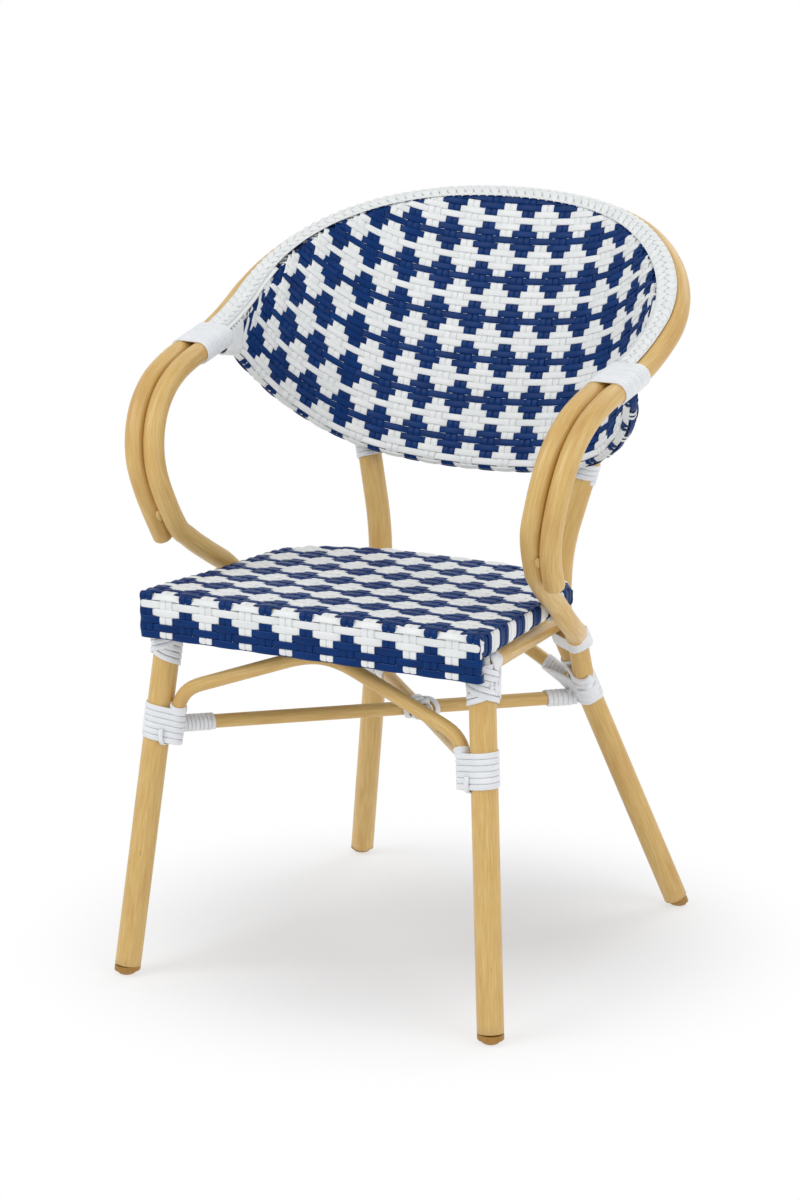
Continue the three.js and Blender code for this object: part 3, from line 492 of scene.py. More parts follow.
# %% [markdown]
# The legs. The front legs lean in and back. The rear legs lean the same way up to the seat, bend to upright
# behind it and run on behind the back as its posts. Both end at the bottom in their glides.

# %% Legs
FRONT_RADIUS, REAR_RADIUS, RAIL_RADIUS, BRACE_RADIUS = 15 * MM, 14 * MM, 11 * MM, 8 * MM
FRONT_FOOT, FRONT_LEG_AIM, REAR_FOOT = (234.5, 0, 0), (196.4, 47, 416.5), (219.5, 526, 0)
FRONT_LEG = [(233.4, 1.3, 11.9), (196.9, 46.3, 411)]
REAR_LEG = [(216.5, 522.3, 11), (118.2, 393, 373.5), (120.1, 396, 459), (143.2, 409.4, 551), (209, 457, 790.4)]
front_leg_route = evenly([place(*p) for p in FRONT_LEG], 12 * MM)
rear_leg_route = evenly(rounded([place(*p) for p in REAR_LEG], 34 * MM), 7 * MM)
for side, sign in SIDES.items():
    for end, route, radius, shift in (
        ("front", front_leg_route, FRONT_RADIUS, 4.3), ("rear", rear_leg_route, REAR_RADIUS, 6.7),
    ):
        add_tube(f"{end}_leg_tube_{side}", [f"{end}_leg_{side}"], mirror(route, sign), radius, 0.05, 0.1,
                 shift=shift + sign)

# %% [markdown]
# Under the seat, a rail on each side ties the front leg to the rear one. An arch braces each pair of legs,
# and two stretchers cross between them: one whole, and one in two halves that meet it.

# %% Rails, arches and stretchers
RAIL = [(194.1, 60.6, 407.4), (121.9, 386.3, 374.3)]
FRONT_ARCH = [(185.7, 31.1, 275.4), (180.3, 37.8, 335.3), (19.6, 44.7, 393.8)]
REAR_ARCH = [(110.9, 426.2, 297), (66.5, 426.2, 324.2), (22.2, 418.2, 346.5)]
ARCH_STEP = 6 * MM
STRETCHER = [(207.8, 32.9, 291.6), (-144.7, 433.4, 275.6)]

rail_route = evenly([place(*p) for p in RAIL], 12 * MM)
for side, sign in SIDES.items():
    add_tube(f"side_rail_{side}", [f"seat_side_rail_{side}"], mirror(rail_route, sign), RAIL_RADIUS,
             shift=8.2 + sign)


def arch(points, drop=0.0):
    """An arch from its left half and the mirror of it. The drop lowers the left bend alone."""
    half = [place(*p) for p in points]
    other = mirror(reversed(half), -1)
    half[1].z -= drop
    return evenly(rounded(half + other, 26 * MM), ARCH_STEP)


front_arch_route = arch(FRONT_ARCH, 7 * MM)
rear_arch_route = arch(REAR_ARCH)
add_tube("front_arch_tube", ["front_arch"], front_arch_route, BRACE_RADIUS, 0.4, 0.4, sides=24, shift=11.0)
add_tube("rear_arch_tube", ["rear_arch"], rear_arch_route, BRACE_RADIUS, 0.4, 0.4, sides=24, shift=12.6)


def stretcher_spot(side, share):
    start, end = (place(*p) for p in STRETCHER)
    p = start.lerp(end, share)
    return Vector((p.x * side, p.y, p.z))


for name, cad, side, first, last in (
    ("stretcher_whole", "stretcher_long", -1, 0.051, 0.954),
    ("stretcher_front", "stretcher_front_half", 1, 0.051, 0.572),
    ("stretcher_rear", "stretcher_rear_half", 1, 0.607, 0.954),
):
    route = evenly([stretcher_spot(side, first), stretcher_spot(side, last)], 12 * MM)
    add_tube(name, [cad], route, BRACE_RADIUS, sides=24, shift=14 + last)

# %% [markdown]
# A glide closes each leg at the floor. It is a turned shape, so it is drawn with Blender's own edit tools: a
# disc on the floor is extruded upwards and widened step by step to the flange, whose rings lean with the leg.

# %% Glides
GLIDE_BASE = 4.5 * MM
bpy.context.view_layer.objects.active = None


def add_glide(name, cad, foot, top, radius):
    bpy.ops.object.select_all(action="DESELECT")
    bpy.ops.mesh.primitive_circle_add(vertices=32, radius=GLIDE_BASE, fill_type="NGON", location=foot)
    piece = bpy.context.object
    piece.name = name
    lean = (top - foot) / (top - foot).z
    bpy.ops.object.mode_set(mode="EDIT")
    bpy.ops.mesh.select_all(action="SELECT")
    # Heights and radii: the rounded foot, the flange's lower edge, the flange and its upper edge
    rings = [(0.5 * MM, 6.9 * MM), (1.5 * MM, 9.1 * MM), (3.1 * MM, 10.6 * MM),
             (4.9 * MM, radius - 2.2 * MM), (5.5 * MM, radius - 0.4 * MM),
             (6.1 * MM, radius), (11.2 * MM, radius), (11.7 * MM, radius - 0.6 * MM)]
    reached, size = 0.0, GLIDE_BASE
    for height, wanted in rings:
        bpy.ops.mesh.extrude_region_move(TRANSFORM_OT_translate={"value": lean * (height - reached)})
        scale = wanted / size
        bpy.ops.transform.resize(value=(scale, scale, 1), center_override=foot + lean * height)
        reached, size = height, wanted
    bpy.ops.mesh.select_all(action="SELECT")
    bpy.ops.mesh.normals_make_consistent(inside=False)
    bpy.ops.object.mode_set(mode="OBJECT")
    bpy.ops.object.transform_apply(location=True, rotation=True, scale=True)
    bpy.ops.object.shade_smooth_by_angle(angle=math.radians(35))
    piece.data.materials.append(glide_plastic)
    finish_piece(piece, "glide_plastic", cad)


for side, sign in SIDES.items():
    foot, top = mirror([place(*FRONT_FOOT), place(*FRONT_LEG[0])], sign)
    add_glide(f"front_foot_{side}", f"front_glide_{side}", foot, top, FRONT_RADIUS)
    foot, top = mirror([place(*REAR_FOOT), place(*REAR_LEG[0])], sign)
    add_glide(f"rear_foot_{side}", f"rear_glide_{side}", foot, top, REAR_RADIUS)

# %% [markdown]
# Low on the front of each arm, a short fillet weld fills the groove between the two tubes. It is painted over
# with the same paint. Its outline narrows to nothing at both ends.

# %% Arm welds
WELD_HEIGHT = 520 * MM
WELD_REACH = 7 * MM
WELD_RADIUS = 3.4 * MM


def nearest_index(route, z):
    return min(range(len(route) // 2), key=lambda i: abs(route[i].z - z))


for side, sign in SIDES.items():
    outer = nearest_index(half_hoop, WELD_HEIGHT)
    centre = half_hoop[outer] - Vector((ARM_PITCH / 2, 0, 0))
    run = (half_hoop[outer + 1] - half_hoop[outer - 1]).normalized()
    front = turned(Vector((1, 0, 0)).cross(run).normalized(), Y, -1)
    steps = [-1, -0.8, -0.45, 0, 0.45, 0.8, 1]
    route = [centre + run * WELD_REACH * t + front * (5.2 + 1.4 * (1 - t * t)) * MM for t in steps]
    sizes = [max(0.12, 1 - t ** 4) for t in steps]
    skin = Skin()
    front_side = Vector((front.x * sign, front.y, front.z))
    skin.sweep(mirror(route, sign), circle(WELD_RADIUS, 16), normals=[front_side] * len(steps),
               sizes=sizes, shift=17 + sign)
    piece = skin.build(f"arm_fillet_{side}", [bamboo])
    finish_piece(piece, "bamboo_paint", f"arm_weld_{side}")

# %% [markdown]
# Lashings are flat strands wound tightly round one or two tubes. The strand follows the shortest loop round
# the tubes: arcs where it lies on them and straight runs between. One function finds that loop at each step,
# and another walks round it while it travels along the tubes.

# %% Winding
STRAND = 2.1 * MM
LEVEL_FRONT = Vector((0, -1, 0))


def at_share(route, share):
    place_in = clamped(share) * (len(route) - 1)
    index = min(int(place_in), len(route) - 2)
    return route[index].lerp(route[index + 1], place_in - index)


def strand_outline(width, thickness):
    """A flat strand with a rounded outer face, as (out, sideways) pairs."""
    half, w = thickness / 2, width / 2
    return [(-half, -0.86 * w), (-half, 0.86 * w), (-0.1 * half, w), (0.65 * half, 0.84 * w), (half, 0.45 * w),
            (half, -0.45 * w), (0.65 * half, -0.84 * w), (-0.1 * half, -w)]


def loop_spot(centres, first, other, share):
    """The point and the outward direction at a share of the way round the shortest loop round the circles."""
    count = 72
    spots = []
    for k in range(count):
        angle = 2 * math.pi * k / count
        out = first * math.cos(angle) + other * math.sin(angle)
        centre, radius = max(centres, key=lambda item: item[0].dot(out) + item[1])
        spots.append((centre + out * radius, out))
    lengths = [0.0]
    for (a, _), (b, _) in zip(spots, spots[1:] + spots[:1]):
        flat = b - a
        lengths.append(lengths[-1] + math.hypot(flat.dot(first), flat.dot(other)))
    wanted = share * lengths[-1]
    k = 0
    while k < count - 1 and lengths[k + 1] < wanted:
        k += 1
    run = lengths[k + 1] - lengths[k]
    t = (wanted - lengths[k]) / run if run else 0.0
    (a, out_a), (b, out_b) = spots[k], spots[(k + 1) % count]
    return a.lerp(b, t), out_a.lerp(out_b, t).normalized()


def wind(skin, tubes, turns, width, lift=0.0, tilt=0.0, steps=36, phase=0.0, tuck=1.0):
    """Winds one strand round tubes, each given as a route and a radius, from their starts to their ends."""
    total = round(turns * steps)
    points, normals = [], []
    line = tubes[0][0]
    for k in range(total + 1):
        share = k / total
        along = (at_share(line, share + 0.02) - at_share(line, share - 0.02)).normalized()
        if len(tubes) > 1:
            towards = at_share(tubes[1][0], share) - at_share(line, share)
        else:
            towards = UP.cross(along)
        first = (towards - along * towards.dot(along)).normalized()
        other = along.cross(first)
        if other.y > other.z:
            other.negate()
        fraction = (k / steps + phase) % 1.0
        centres = [(at_share(route, share), radius) for route, radius in tubes]
        spot, out = loop_spot(centres, first, other, fraction)
        from_end = min(k, total - k)
        sink = tuck * STRAND * max(0.0, 1 - from_end / 4)
        spot = spot + out * (STRAND / 2 + lift - sink)
        spot += along * (tilt * math.cos(2 * math.pi * fraction) - along.dot(spot - centres[0][0]))
        points.append(spot)
        normals.append(out)
    skin.sweep(points, strand_outline(width, STRAND), normals)


def lay(skin, spots, width=6.4 * MM, thickness=STRAND, steps=6, shift=0.0):
    """Lays a strand through places, each given with the direction that its flat face looks in."""
    points = spline([p for p, _ in spots], steps)
    normals = []
    for (_, a), (_, b) in zip(spots, spots[1:]):
        normals.extend(a.lerp(b, k / steps).normalized() for k in range(steps))
    normals.append(spots[-1][1])
    skin.sweep(points, strand_outline(width, thickness), normals, shift=shift)


def mirror_spots(spots, side):
    return list(zip(mirror([p for p, _ in spots], side), mirror([n for _, n in spots], side)))


def straight(start, end, count=12):
    return [start.lerp(end, k / count) for k in range(count + 1)]


def at_height(start, end, z):
    """The point of a straight line at a height. All are in millimetres, as in the drawing."""
    low, high = place(*start), place(*end)
    return low.lerp(high, (z * MM - low.z) / (high.z - low.z))


def on_front_leg(z):
    return at_height(FRONT_FOOT, FRONT_LEG_AIM, z)


def on_rear_leg(z):
    return at_height(REAR_FOOT, REAR_LEG[1], z)


def on_post(z):
    return at_height(REAR_LEG[2], REAR_LEG[3], z)


def around(middle, turn, reach):
    """A place round a middle, at a turn from straight ahead towards the chair's outside."""
    out = Vector((math.sin(math.radians(turn)), -math.cos(math.radians(turn)), 0))
    return middle + out * reach, out


def finish_lashing(skin, name, side, *nodes):
    piece = skin.build(f"{name}_{side}", [cool_white])
    finish_piece(piece, "white_strand", *nodes)


# %% [markdown]
# At the top of each arm, ten turns bind the inner tube to the outer one.

# %% Arm lashings


def trimmed(route, first, last):
    low, high = (first - FRONT_FEET) * MM, (last - FRONT_FEET) * MM
    fine = evenly(route, 0.5 * MM)
    return [p for p in fine if low <= p.y <= high]


for side, sign in SIDES.items():
    outer = trimmed([p for p in half_hoop if p.z > 670 * MM], 203, 262)
    inner = [p - Vector((ARM_PITCH, 0, 0)) for p in outer]
    skin = Skin()
    tubes = [(mirror(outer, sign), HOOP_RADIUS), (mirror(inner, sign), HOOP_RADIUS)]
    wind(skin, tubes, 10, 5.9 * MM, phase=0.75, steps=44)
    finish_lashing(skin, "arm_lashing", side, f"arm_wrap_{side}")

# %% [markdown]
# Under the seat's front corners, the leg and the rail are held by crossed turns. Low strands rise across the
# leg to its outer side, others cross over them from the outer side, and the rest loop up round the rail.
# Lower down, six turns bind each front leg to the foot of its arch, with a loop round the arch and a tucked
# end below.

# %% Front leg lashings
ARCH_GAP = 23.6 * MM


def leg_spot(z, azimuth, lift):
    """A place on a front leg at an angle from straight ahead towards the chair's outside."""
    return around(on_front_leg(z), azimuth, FRONT_RADIUS + STRAND / 2 + lift)


rail_start, rail_end = place(*RAIL[0]), place(*RAIL[1])
rail_run = (rail_end - rail_start).normalized()
rail_out = turned(rail_run.cross(UP).normalized(), X)
rail_up = turned(rail_out.cross(rail_run).normalized(), Z)


def rail_spot(travel, turn, lift):
    """A place on the rail at a distance behind the leg. The turn runs from outward (0) over the top (90)."""
    out = rail_out * math.cos(math.radians(turn)) + rail_up * math.sin(math.radians(turn))
    return rail_start + rail_run * travel + out * (RAIL_RADIUS + STRAND / 2 + lift), out


for side, sign in SIDES.items():
    skin = Skin()
    leg = mirror(straight(on_front_leg(381), on_front_leg(414)), sign)
    wind(skin, [(leg, 14.2 * MM)], 5, 6.8 * MM, phase=0.1)
    for k in range(4):
        spots = []
        for azimuth in range(-130, 131, 26):
            spots.append(leg_spot(369.3 + (azimuth + 61) * 0.104 + 7 * k, azimuth, 0.3 * MM))
        lay(skin, mirror_spots(spots, sign), shift=k * 0.4)
    for k in range(5):
        spots = []
        for azimuth in range(150, -86, -26):
            height = 380.3 - (azimuth - 45) * 0.109 + 7 * k
            lift = (1.2 + 1.1 * math.cos(math.radians(azimuth - 40))) * MM
            spots.append(leg_spot(min(height, 419), azimuth, lift))
        lay(skin, mirror_spots(spots, sign), shift=2 + k * 0.4)
    finish_lashing(skin, "front_corner_lashing", side, f"front_leg_top_wrap_{side}")

    skin = Skin()
    rail = mirror(straight(rail_start - rail_run * 2 * MM, rail_start + rail_run * 22 * MM), sign)
    wind(skin, [(rail, 10.6 * MM)], 3.6, 6.6 * MM, phase=0.4)
    for k in range(4):
        travel = (2 + 6 * k) * MM
        spots = [leg_spot(374 + 5 * (3 - k), 66 + 19 * k, 2.9 * MM), leg_spot(392, 60 + 19 * k, 3.6 * MM)]
        spots.append(rail_spot(travel * 0.7, -25, 2.4 * MM))
        for turn, lift in ((25, 1.4), (75, 0.9), (120, 0.7), (170, 0.3)):
            spots.append(rail_spot(travel, turn, lift * MM))
        lay(skin, mirror_spots(spots, sign), shift=4 + k * 0.4)
    for k in range(4):
        middle = on_front_leg(414) + Vector((12 - 7.5 * k, 5 - 3 * k, 4.5 + 0.3 * k)) * MM
        spots = [leg_spot(408, 85 - 32 * k, 2.6 * MM), (middle, UP),
                 rail_spot((9 - 2 * k) * MM, 60 + 22 * k, 1.6 * MM),
                 rail_spot((14 - 2 * k) * MM, 72 + 22 * k, 0.6 * MM)]
        lay(skin, mirror_spots(spots, sign), width=7.4 * MM, shift=6 + k * 0.4)
    finish_lashing(skin, "rail_lashing", side, f"rail_wrap_{side}")

    skin = Skin()
    leg = mirror(straight(on_front_leg(277), on_front_leg(317)), sign)
    arch_foot = [p - Vector((ARCH_GAP * sign, 0, 0)) for p in leg]
    wind(skin, [(leg, FRONT_RADIUS), (arch_foot, BRACE_RADIUS)], 6, 6.6 * MM, phase=0.75, steps=44)
    half = front_arch_route if sign == 1 else list(reversed(front_arch_route))
    above = [p for p in half[:12] if 306 * MM < p.z < 321 * MM]
    wind(skin, [(above, BRACE_RADIUS)], 2, 6.4 * MM, tilt=3 * MM, phase=0.75, tuck=0.6)
    middle = mirror([on_front_leg(280) - Vector((14.6 * MM, 0, 0))], sign)[0]
    spots = [(middle + Vector((0, y, z)) * MM, facing) for y, z, facing in (
        (-13.2, 12, LEVEL_FRONT), (-15.4, 7, LEVEL_FRONT), (-14.6, -2, LEVEL_FRONT),
        (-11, -6, Vector((0, -0.7, -0.7))), (-3, -6.4, -UP))]
    lay(skin, spots, width=6 * MM, steps=4)
    finish_lashing(skin, "front_brace_lashing", side, f"front_brace_wrap_{side}")

# %% [markdown]
# At the rear leg, slanting turns bind the foot of the inner arm tube to the leg, a wide strap holds the
# tube's bend and a small band marks the leg between them. The rear arch's foot has its own sleeve, and six
# strands fan from it round the leg. Three more come from the stretcher's sleeve, and a collar closes round
# the tube's end.

# %% Rear leg lashings
rear_arch_half = rear_arch_route[:len(rear_arch_route) // 2]
BUNDLE_RADIUS = 11 * MM


def shin_at(z):
    return place(151.8, 392.5 - 0.34 * (z - 311.5), z)


def bundle_at(z):
    """The middle of what the turns bulge over: the arm tube's end above, and nearly the leg itself below."""
    return shin_at(z).lerp(on_rear_leg(z), min(0.8, clamped((306 - z) / 36)))


for side, sign in SIDES.items():
    skin = Skin()
    leg = mirror(straight(on_rear_leg(279), on_rear_leg(303)), sign)
    bundle = mirror(straight(bundle_at(279), bundle_at(303)), sign)
    wind(skin, [(leg, REAR_RADIUS), (bundle, BUNDLE_RADIUS)], 4, 6.3 * MM, tilt=-4 * MM, phase=0.5, steps=44)
    for k in range(6):
        z = 301 - 5.2 * k
        start = at_share(rear_arch_half, (27 - 4.4 * k) * MM / (len(rear_arch_half) * ARCH_STEP))
        low = Vector((0.15, -0.85, -0.5)).normalized()
        spots = [(start + Vector((-2, 6, -9)) * MM, Vector((0, 0.3, -1)).normalized()),
                 (start + low * (BRACE_RADIUS + 2.8 * MM), low)]
        for turn, rise in ((-60, 0.5), (-25, -2), (12, -2), (50, 2)):
            spots.append(around(bundle_at(z + rise), turn, BUNDLE_RADIUS + STRAND * (1.45 + 0.12 * k)))
        for turn, rise, lift in ((85, 6, 2.0), (140, 9, 0.8)):
            spots.append(around(on_rear_leg(z + rise), turn, REAR_RADIUS + STRAND * lift))
        lay(skin, mirror_spots(spots, sign), width=5.9 * MM, thickness=2.3 * MM, shift=k * 0.4)
    for k in range(3):
        z = 279.5 + 5 * k
        start = stretcher_spot(-1, 0.945)
        spots = [(start + Vector((0, -BRACE_RADIUS - 1.6 * MM, (4 * k - 4) * MM)), LEVEL_FRONT)]
        for turn, rise in ((-35, 0), (5, 0), (45, 1.5), (85, 3), (140, 5)):
            spots.append(around(on_rear_leg(z + rise), turn, REAR_RADIUS + STRAND * 1.2))
        lay(skin, mirror_spots(spots, sign), width=6.2 * MM, shift=3 + k * 0.4)
    # A collar rises on both sides of the arm tube's end, which stands in it, and closes on the leg behind
    hold = REAR_RADIUS + STRAND * 0.6
    collar = [around(on_rear_leg(324), -115, hold), around(on_rear_leg(320), -80, hold)]
    for turn, z in ((-60, 313), (-30, 308), (12, 305.5), (55, 310)):
        collar.append(around(shin_at(z), turn, HOOP_RADIUS + STRAND))
    collar += [around(on_rear_leg(319), 85, hold), around(on_rear_leg(325), 140, hold)]
    lay(skin, mirror_spots(collar, sign), width=6.8 * MM, thickness=2.6 * MM, shift=5.1)
    finish_lashing(skin, "rear_brace_lashing", side, f"rear_brace_wrap_{side}")

    skin = Skin()
    start, end = place(*REAR_ARCH[0]), place(*REAR_ARCH[1])
    run = (end - start).normalized()
    sleeve = mirror(straight(start, start + run * 29 * MM), sign)
    wind(skin, [(sleeve, BRACE_RADIUS)], 6, 5 * MM, phase=0.75)
    finish_lashing(skin, "rear_arch_sleeve", side, f"rear_arch_wrap_{side}")

    skin = Skin()
    post = mirror(straight(on_post(540), on_post(561)), sign)
    wind(skin, [(post, REAR_RADIUS)], 3.5, 6.2 * MM, phase=0.6)
    finish_lashing(skin, "post_lashing", side, f"back_post_wrap_{side}")

    for name, cad, z, width, tubes in (
        ("arm_strap_band", "arm_strap", 356, 17, 2),
        ("rear_leg_small_band", "rear_leg_band", 326, 7, 1),
    ):
        skin = Skin()
        leg = mirror(straight(on_rear_leg(z - 3), on_rear_leg(z + 3)), sign)
        loops = [(leg, REAR_RADIUS)]
        if tubes == 2:
            bend = mirror(straight(place(152.6, 377, z - 3), place(153.4, 373, z + 3)), sign)
            loops.append((bend, 13.4 * MM))
        centres = [(route[len(route) // 2], radius) for route, radius in loops]
        along = (leg[-1] - leg[0]).normalized()
        towards = centres[1][0] - centres[0][0] if tubes == 2 else UP.cross(along)
        across = (towards - along * towards.dot(along)).normalized()
        points, normals, widths = [], [], []
        for k in range(48):
            spot, out = loop_spot(centres, across, along.cross(across), k / 48)
            outer = abs(out.x) if tubes == 2 else 0.0
            points.append(spot + out * STRAND / 2 + Vector((0, 0, 4 * MM * outer)))
            normals.append(out)
            widths.append(1 + 0.3 * outer)
        skin.sweep(points, strand_outline(width * MM, STRAND), normals, closed=True, widths=widths)
        finish_lashing(skin, name, side, f"{cad}_{side}")

# %% [markdown]
# The stretchers are sleeved at both ends where they meet the legs, and bound with crossing turns where they
# meet each other.

# %% Stretcher lashings
for side, sign in SIDES.items():
    for name, cad, first, last, turns, width in (
        ("stretcher_front_sleeve", "stretcher_front_wrap", 0.05, 0.122, 8, 4.7),
        ("stretcher_rear_sleeve", "stretcher_rear_wrap", 0.955, 0.885, 6, 6.2),
    ):
        skin = Skin()
        sleeve = straight(stretcher_spot(sign, first), stretcher_spot(sign, last))
        wind(skin, [(sleeve, BRACE_RADIUS)], turns, width * MM, phase=0.75)
        finish_lashing(skin, name, side, f"{cad}_{side}")

# The crossing's share of the stretchers' length, and how far its turns reach on either side
CROSS, CROSS_REACH = 0.5895, 0.032
skin = Skin()
for sign in (1, -1):
    line = straight(stretcher_spot(sign, CROSS - CROSS_REACH), stretcher_spot(sign, CROSS + CROSS_REACH))
    for lift, tilt in ((0.0, 6 * MM), (0.4 * MM, -6 * MM)):
        wind(skin, [(line, BRACE_RADIUS * 1.25)], 2.5, 6.2 * MM, lift=lift, tilt=tilt, phase=0.25)
finish_lashing(skin, "cross_lashing", "middle", "cross_wrap")

# %% [markdown]
# Both weaves follow one rule. The warp runs in pairs of strands, navy and white in turn. Single weft strands
# cross it, three navy and three white in turn. A weft passes over a pair where its number and the pair's add
# up to an even number, and under it elsewhere. The functions below turn that rule into heights above and
# below the middle of the sheet.

# %% The weave's rule
# Both weaves are laid out in millimetres, and only the strands' outlines are in metres
ROW_PITCH = 8
WEFT_RISE, WARP_RISE = 1.0, 0.75
PAIR_HALF = 4.1
ROW_STEP, COLUMN_STEP = 2.7, 2.0
NAVY_ROWS, ALL_ROWS = 3, 6
WHITE, NAVY = 0, 1


def flattened(value):
    return math.sin(math.pi / 2 * math.cos(math.pi * value))


def weft_height(column, row):
    return WEFT_RISE * flattened(column + row)


def warp_height(column, row):
    return -WARP_RISE * math.cos(math.pi * (column + row))


def oval(width, thickness, sides=8):
    """A strand's outline: a flattened oval with its first axis outward."""
    outline = []
    for k in range(sides):
        angle = 2 * math.pi * (k + 0.5) / sides
        c, s = math.cos(angle), math.sin(angle)
        outline.append((thickness / 2 * math.copysign(abs(c) ** 0.55, c),
                        width / 2 * math.copysign(abs(s) ** 0.5, s)))
    return outline


def row_colour(cycle):
    return NAVY if cycle < NAVY_ROWS else WHITE


def tangent_normals(points, hint):
    """The directions square to a line and to the hint. They point to the hint's right, seen along the line."""
    normals = []
    for i, p in enumerate(points):
        along = points[min(i + 1, len(points) - 1)] - points[max(i - 1, 0)]
        normals.append(along.cross(hint).normalized())
    return normals


weft_outline = oval(8 * MM, 2.1 * MM)
warp_outline = oval(8.2 * MM, 1.7 * MM)

# %% [markdown]
# The seat's outline is nearly straight in front and at the sides and round at the back. Its weave stands a
# little inside the CAD's outer face, so that the floats come out level with it.

# %% The seat's outline
SKIN = 2.0
SEAT_TOP = 450 - SKIN
CROWN = 3.5
FRONT_FACE = 8 + SKIN
SIDE_DROP_END = 300
SIDE_BASE = 425.5
SIDE_ROLL = 8
APRON_BASE = 399.4
FIRST_ROW = 404
FRONT_PITCH = 8.68
TOP_START = 18
SEAT_PITCH = 25.75
LAST_DEPTH = 336
TUCK = 13
FRONT_HALF, FRONT_DEPTH = 217, 8
SIDE_END, SIDE_END_DEPTH = 194.5, 261.8
REAR_DEPTH = 344
REAR_HALF = [(SIDE_END, SIDE_END_DEPTH), (187.7, 281.9), (161.4, 305.9), (126.4, 323.6), (91.4, 335.3),
             (46.7, 342), (0, REAR_DEPTH)]
rear_curve = spline([Vector((x, y, 0)) for x, y in REAR_HALF], 16)


def side_half(y):
    return FRONT_HALF + (SIDE_END - FRONT_HALF) * (y - FRONT_DEPTH) / (SIDE_END_DEPTH - FRONT_DEPTH)


def crossing(value, key, other):
    """Reads the rear curve: the other coordinate where one of them has a value."""
    for a, b in zip(rear_curve, rear_curve[1:]):
        if (a[key] - value) * (b[key] - value) <= 0 and a[key] != b[key]:
            return a[other] + (b[other] - a[other]) * (value - a[key]) / (b[key] - a[key])
    return rear_curve[-1][other]


def seat_half(y):
    return (side_half(y) if y <= SIDE_END_DEPTH else crossing(y, Y, X)) - SKIN


def seat_rear(x):
    return crossing(abs(x), X, Y) - SKIN


def narrowing(y):
    return side_half(y) / FRONT_HALF


def seat_top(y):
    """The top's height: the seat is a little higher along its front edge."""
    return SEAT_TOP + CROWN * (1 - eased(clamped((y - 25) / 150)))


def side_drop(x, y):
    """How far the top has rolled down towards the side."""
    past = clamped((abs(x) - seat_half(min(y, SIDE_DROP_END)) + SIDE_ROLL) / SIDE_ROLL)
    return SIDE_ROLL * (1 - math.sqrt(1 - past)) ** 2


print("seat: half width", round(seat_half(FRONT_DEPTH), 1), "in front and",
      round(seat_half(SIDE_DROP_END), 1), "near the rear")

# %% [markdown]
# Seat rows: six go across the apron, and the others across the top, over the side edges and in under the
# frame. The sixth lies on the front edge and tips over it. The rear wall has rows of its own that follow the
# round outline.

# %% Seat rows
APRON_ROWS = 6
EDGE_ROW = APRON_ROWS - 1
APRON_TIP = math.radians(34)
LAST_PAIR = 8


def row_depth(number):
    return TOP_START + ROW_PITCH * (number - APRON_ROWS)


def seat_row(number):
    """The row's middle line in millimetres, its outward directions and its columns' numbers."""
    if number < APRON_ROWS:
        tip = APRON_TIP if number == EDGE_ROW else 0.0
        y = FRONT_FACE + (0.8 if number == EDGE_ROW else 0.0)
        z = FIRST_ROW + FRONT_PITCH * number
        half = seat_half(FRONT_FACE)
        flat = [Vector((-half + 4, y + 11, z)), Vector((-half, y, z)), Vector((half, y, z)),
                Vector((half - 4, y + 11, z))]
        line = evenly(rounded(flat, 8, 6), ROW_STEP)
        normals = [(n * math.cos(tip) + UP * math.sin(tip)).normalized() for n in tangent_normals(line, UP)]
        for p in line:
            p.z -= side_drop(p.x, FRONT_FACE) * max(0.0, 0.2 * (number - 2))
    else:
        y = row_depth(number)
        half = seat_half(y) - {APRON_ROWS: 2.4, APRON_ROWS + 1: 0.6}.get(number, 0.0)
        corners = [(half - TUCK, SIDE_BASE), (half, SIDE_BASE), (half, seat_top(y))]
        flat = [Vector((-x, y, z)) for x, z in corners] + [Vector((x, y, z)) for x, z in reversed(corners)]
        line = evenly(rounded(flat, SIDE_ROLL, 6), ROW_STEP)
        normals = tangent_normals(line, Vector((0, 1, 0)))
    columns = [p.x / (SEAT_PITCH * narrowing(min(y, 262))) for p in line]
    return line, normals, columns


def edge_fade(column, last):
    """1 on the woven part, and 0 past the last pair, where a weft has nothing to cross."""
    return clamped((last + 0.7 - abs(column)) / 0.5)


skin = Skin()
number = 0
while row_depth(number) <= LAST_DEPTH:
    line, normals, columns = seat_row(number)
    cycle = (2 - number) % ALL_ROWS
    points = []
    for p, n, column in zip(line, normals, columns):
        points.append(place(*(p + n * weft_height(column, cycle) * edge_fade(column, LAST_PAIR))))
    widths = [1.12 if number < EDGE_ROW else 1.0] * len(points)
    skin.sweep(points, weft_outline, normals, slot=row_colour(cycle), widths=widths, shift=number * 0.73)
    number += 1
print("seat rows:", number)

for k in range(3):
    z = 424 + ROW_PITCH * k
    wall = [Vector((x - SKIN, min(y - SKIN * 0.4, REAR_DEPTH - SKIN), z))
            for x, y in [(199, 212)] + REAR_HALF[:-1]]
    wall += [Vector((0, REAR_DEPTH - SKIN, z))] + mirror(reversed(wall), -1)
    line = evenly(spline(wall, 8), ROW_STEP)
    normals = [-n for n in tangent_normals(line, UP)]
    if normals[len(normals) // 2].y < 0:
        normals = [-n for n in normals]
    cycle = (k + 4) % ALL_ROWS
    points = []
    for p, n in zip(line, normals):
        column = p.x / (SEAT_PITCH * 0.88)
        inset = -1.2 if abs(column) > 7 else 0.0
        points.append(place(*(p + n * (weft_height(column, cycle) + inset))))
    skin.sweep(points, weft_outline, normals, slot=row_colour(cycle), shift=31 + k * 0.73)
seat_wefts = skin.build("seat_wefts", [warm_white, navy])
finish_piece(seat_wefts, "weave_strand", "seat_weave")

# %% [markdown]
# Seat columns: each pair starts under the apron, goes up its face and back across the top, and turns down the
# rear wall or the side, wherever it meets the outline.

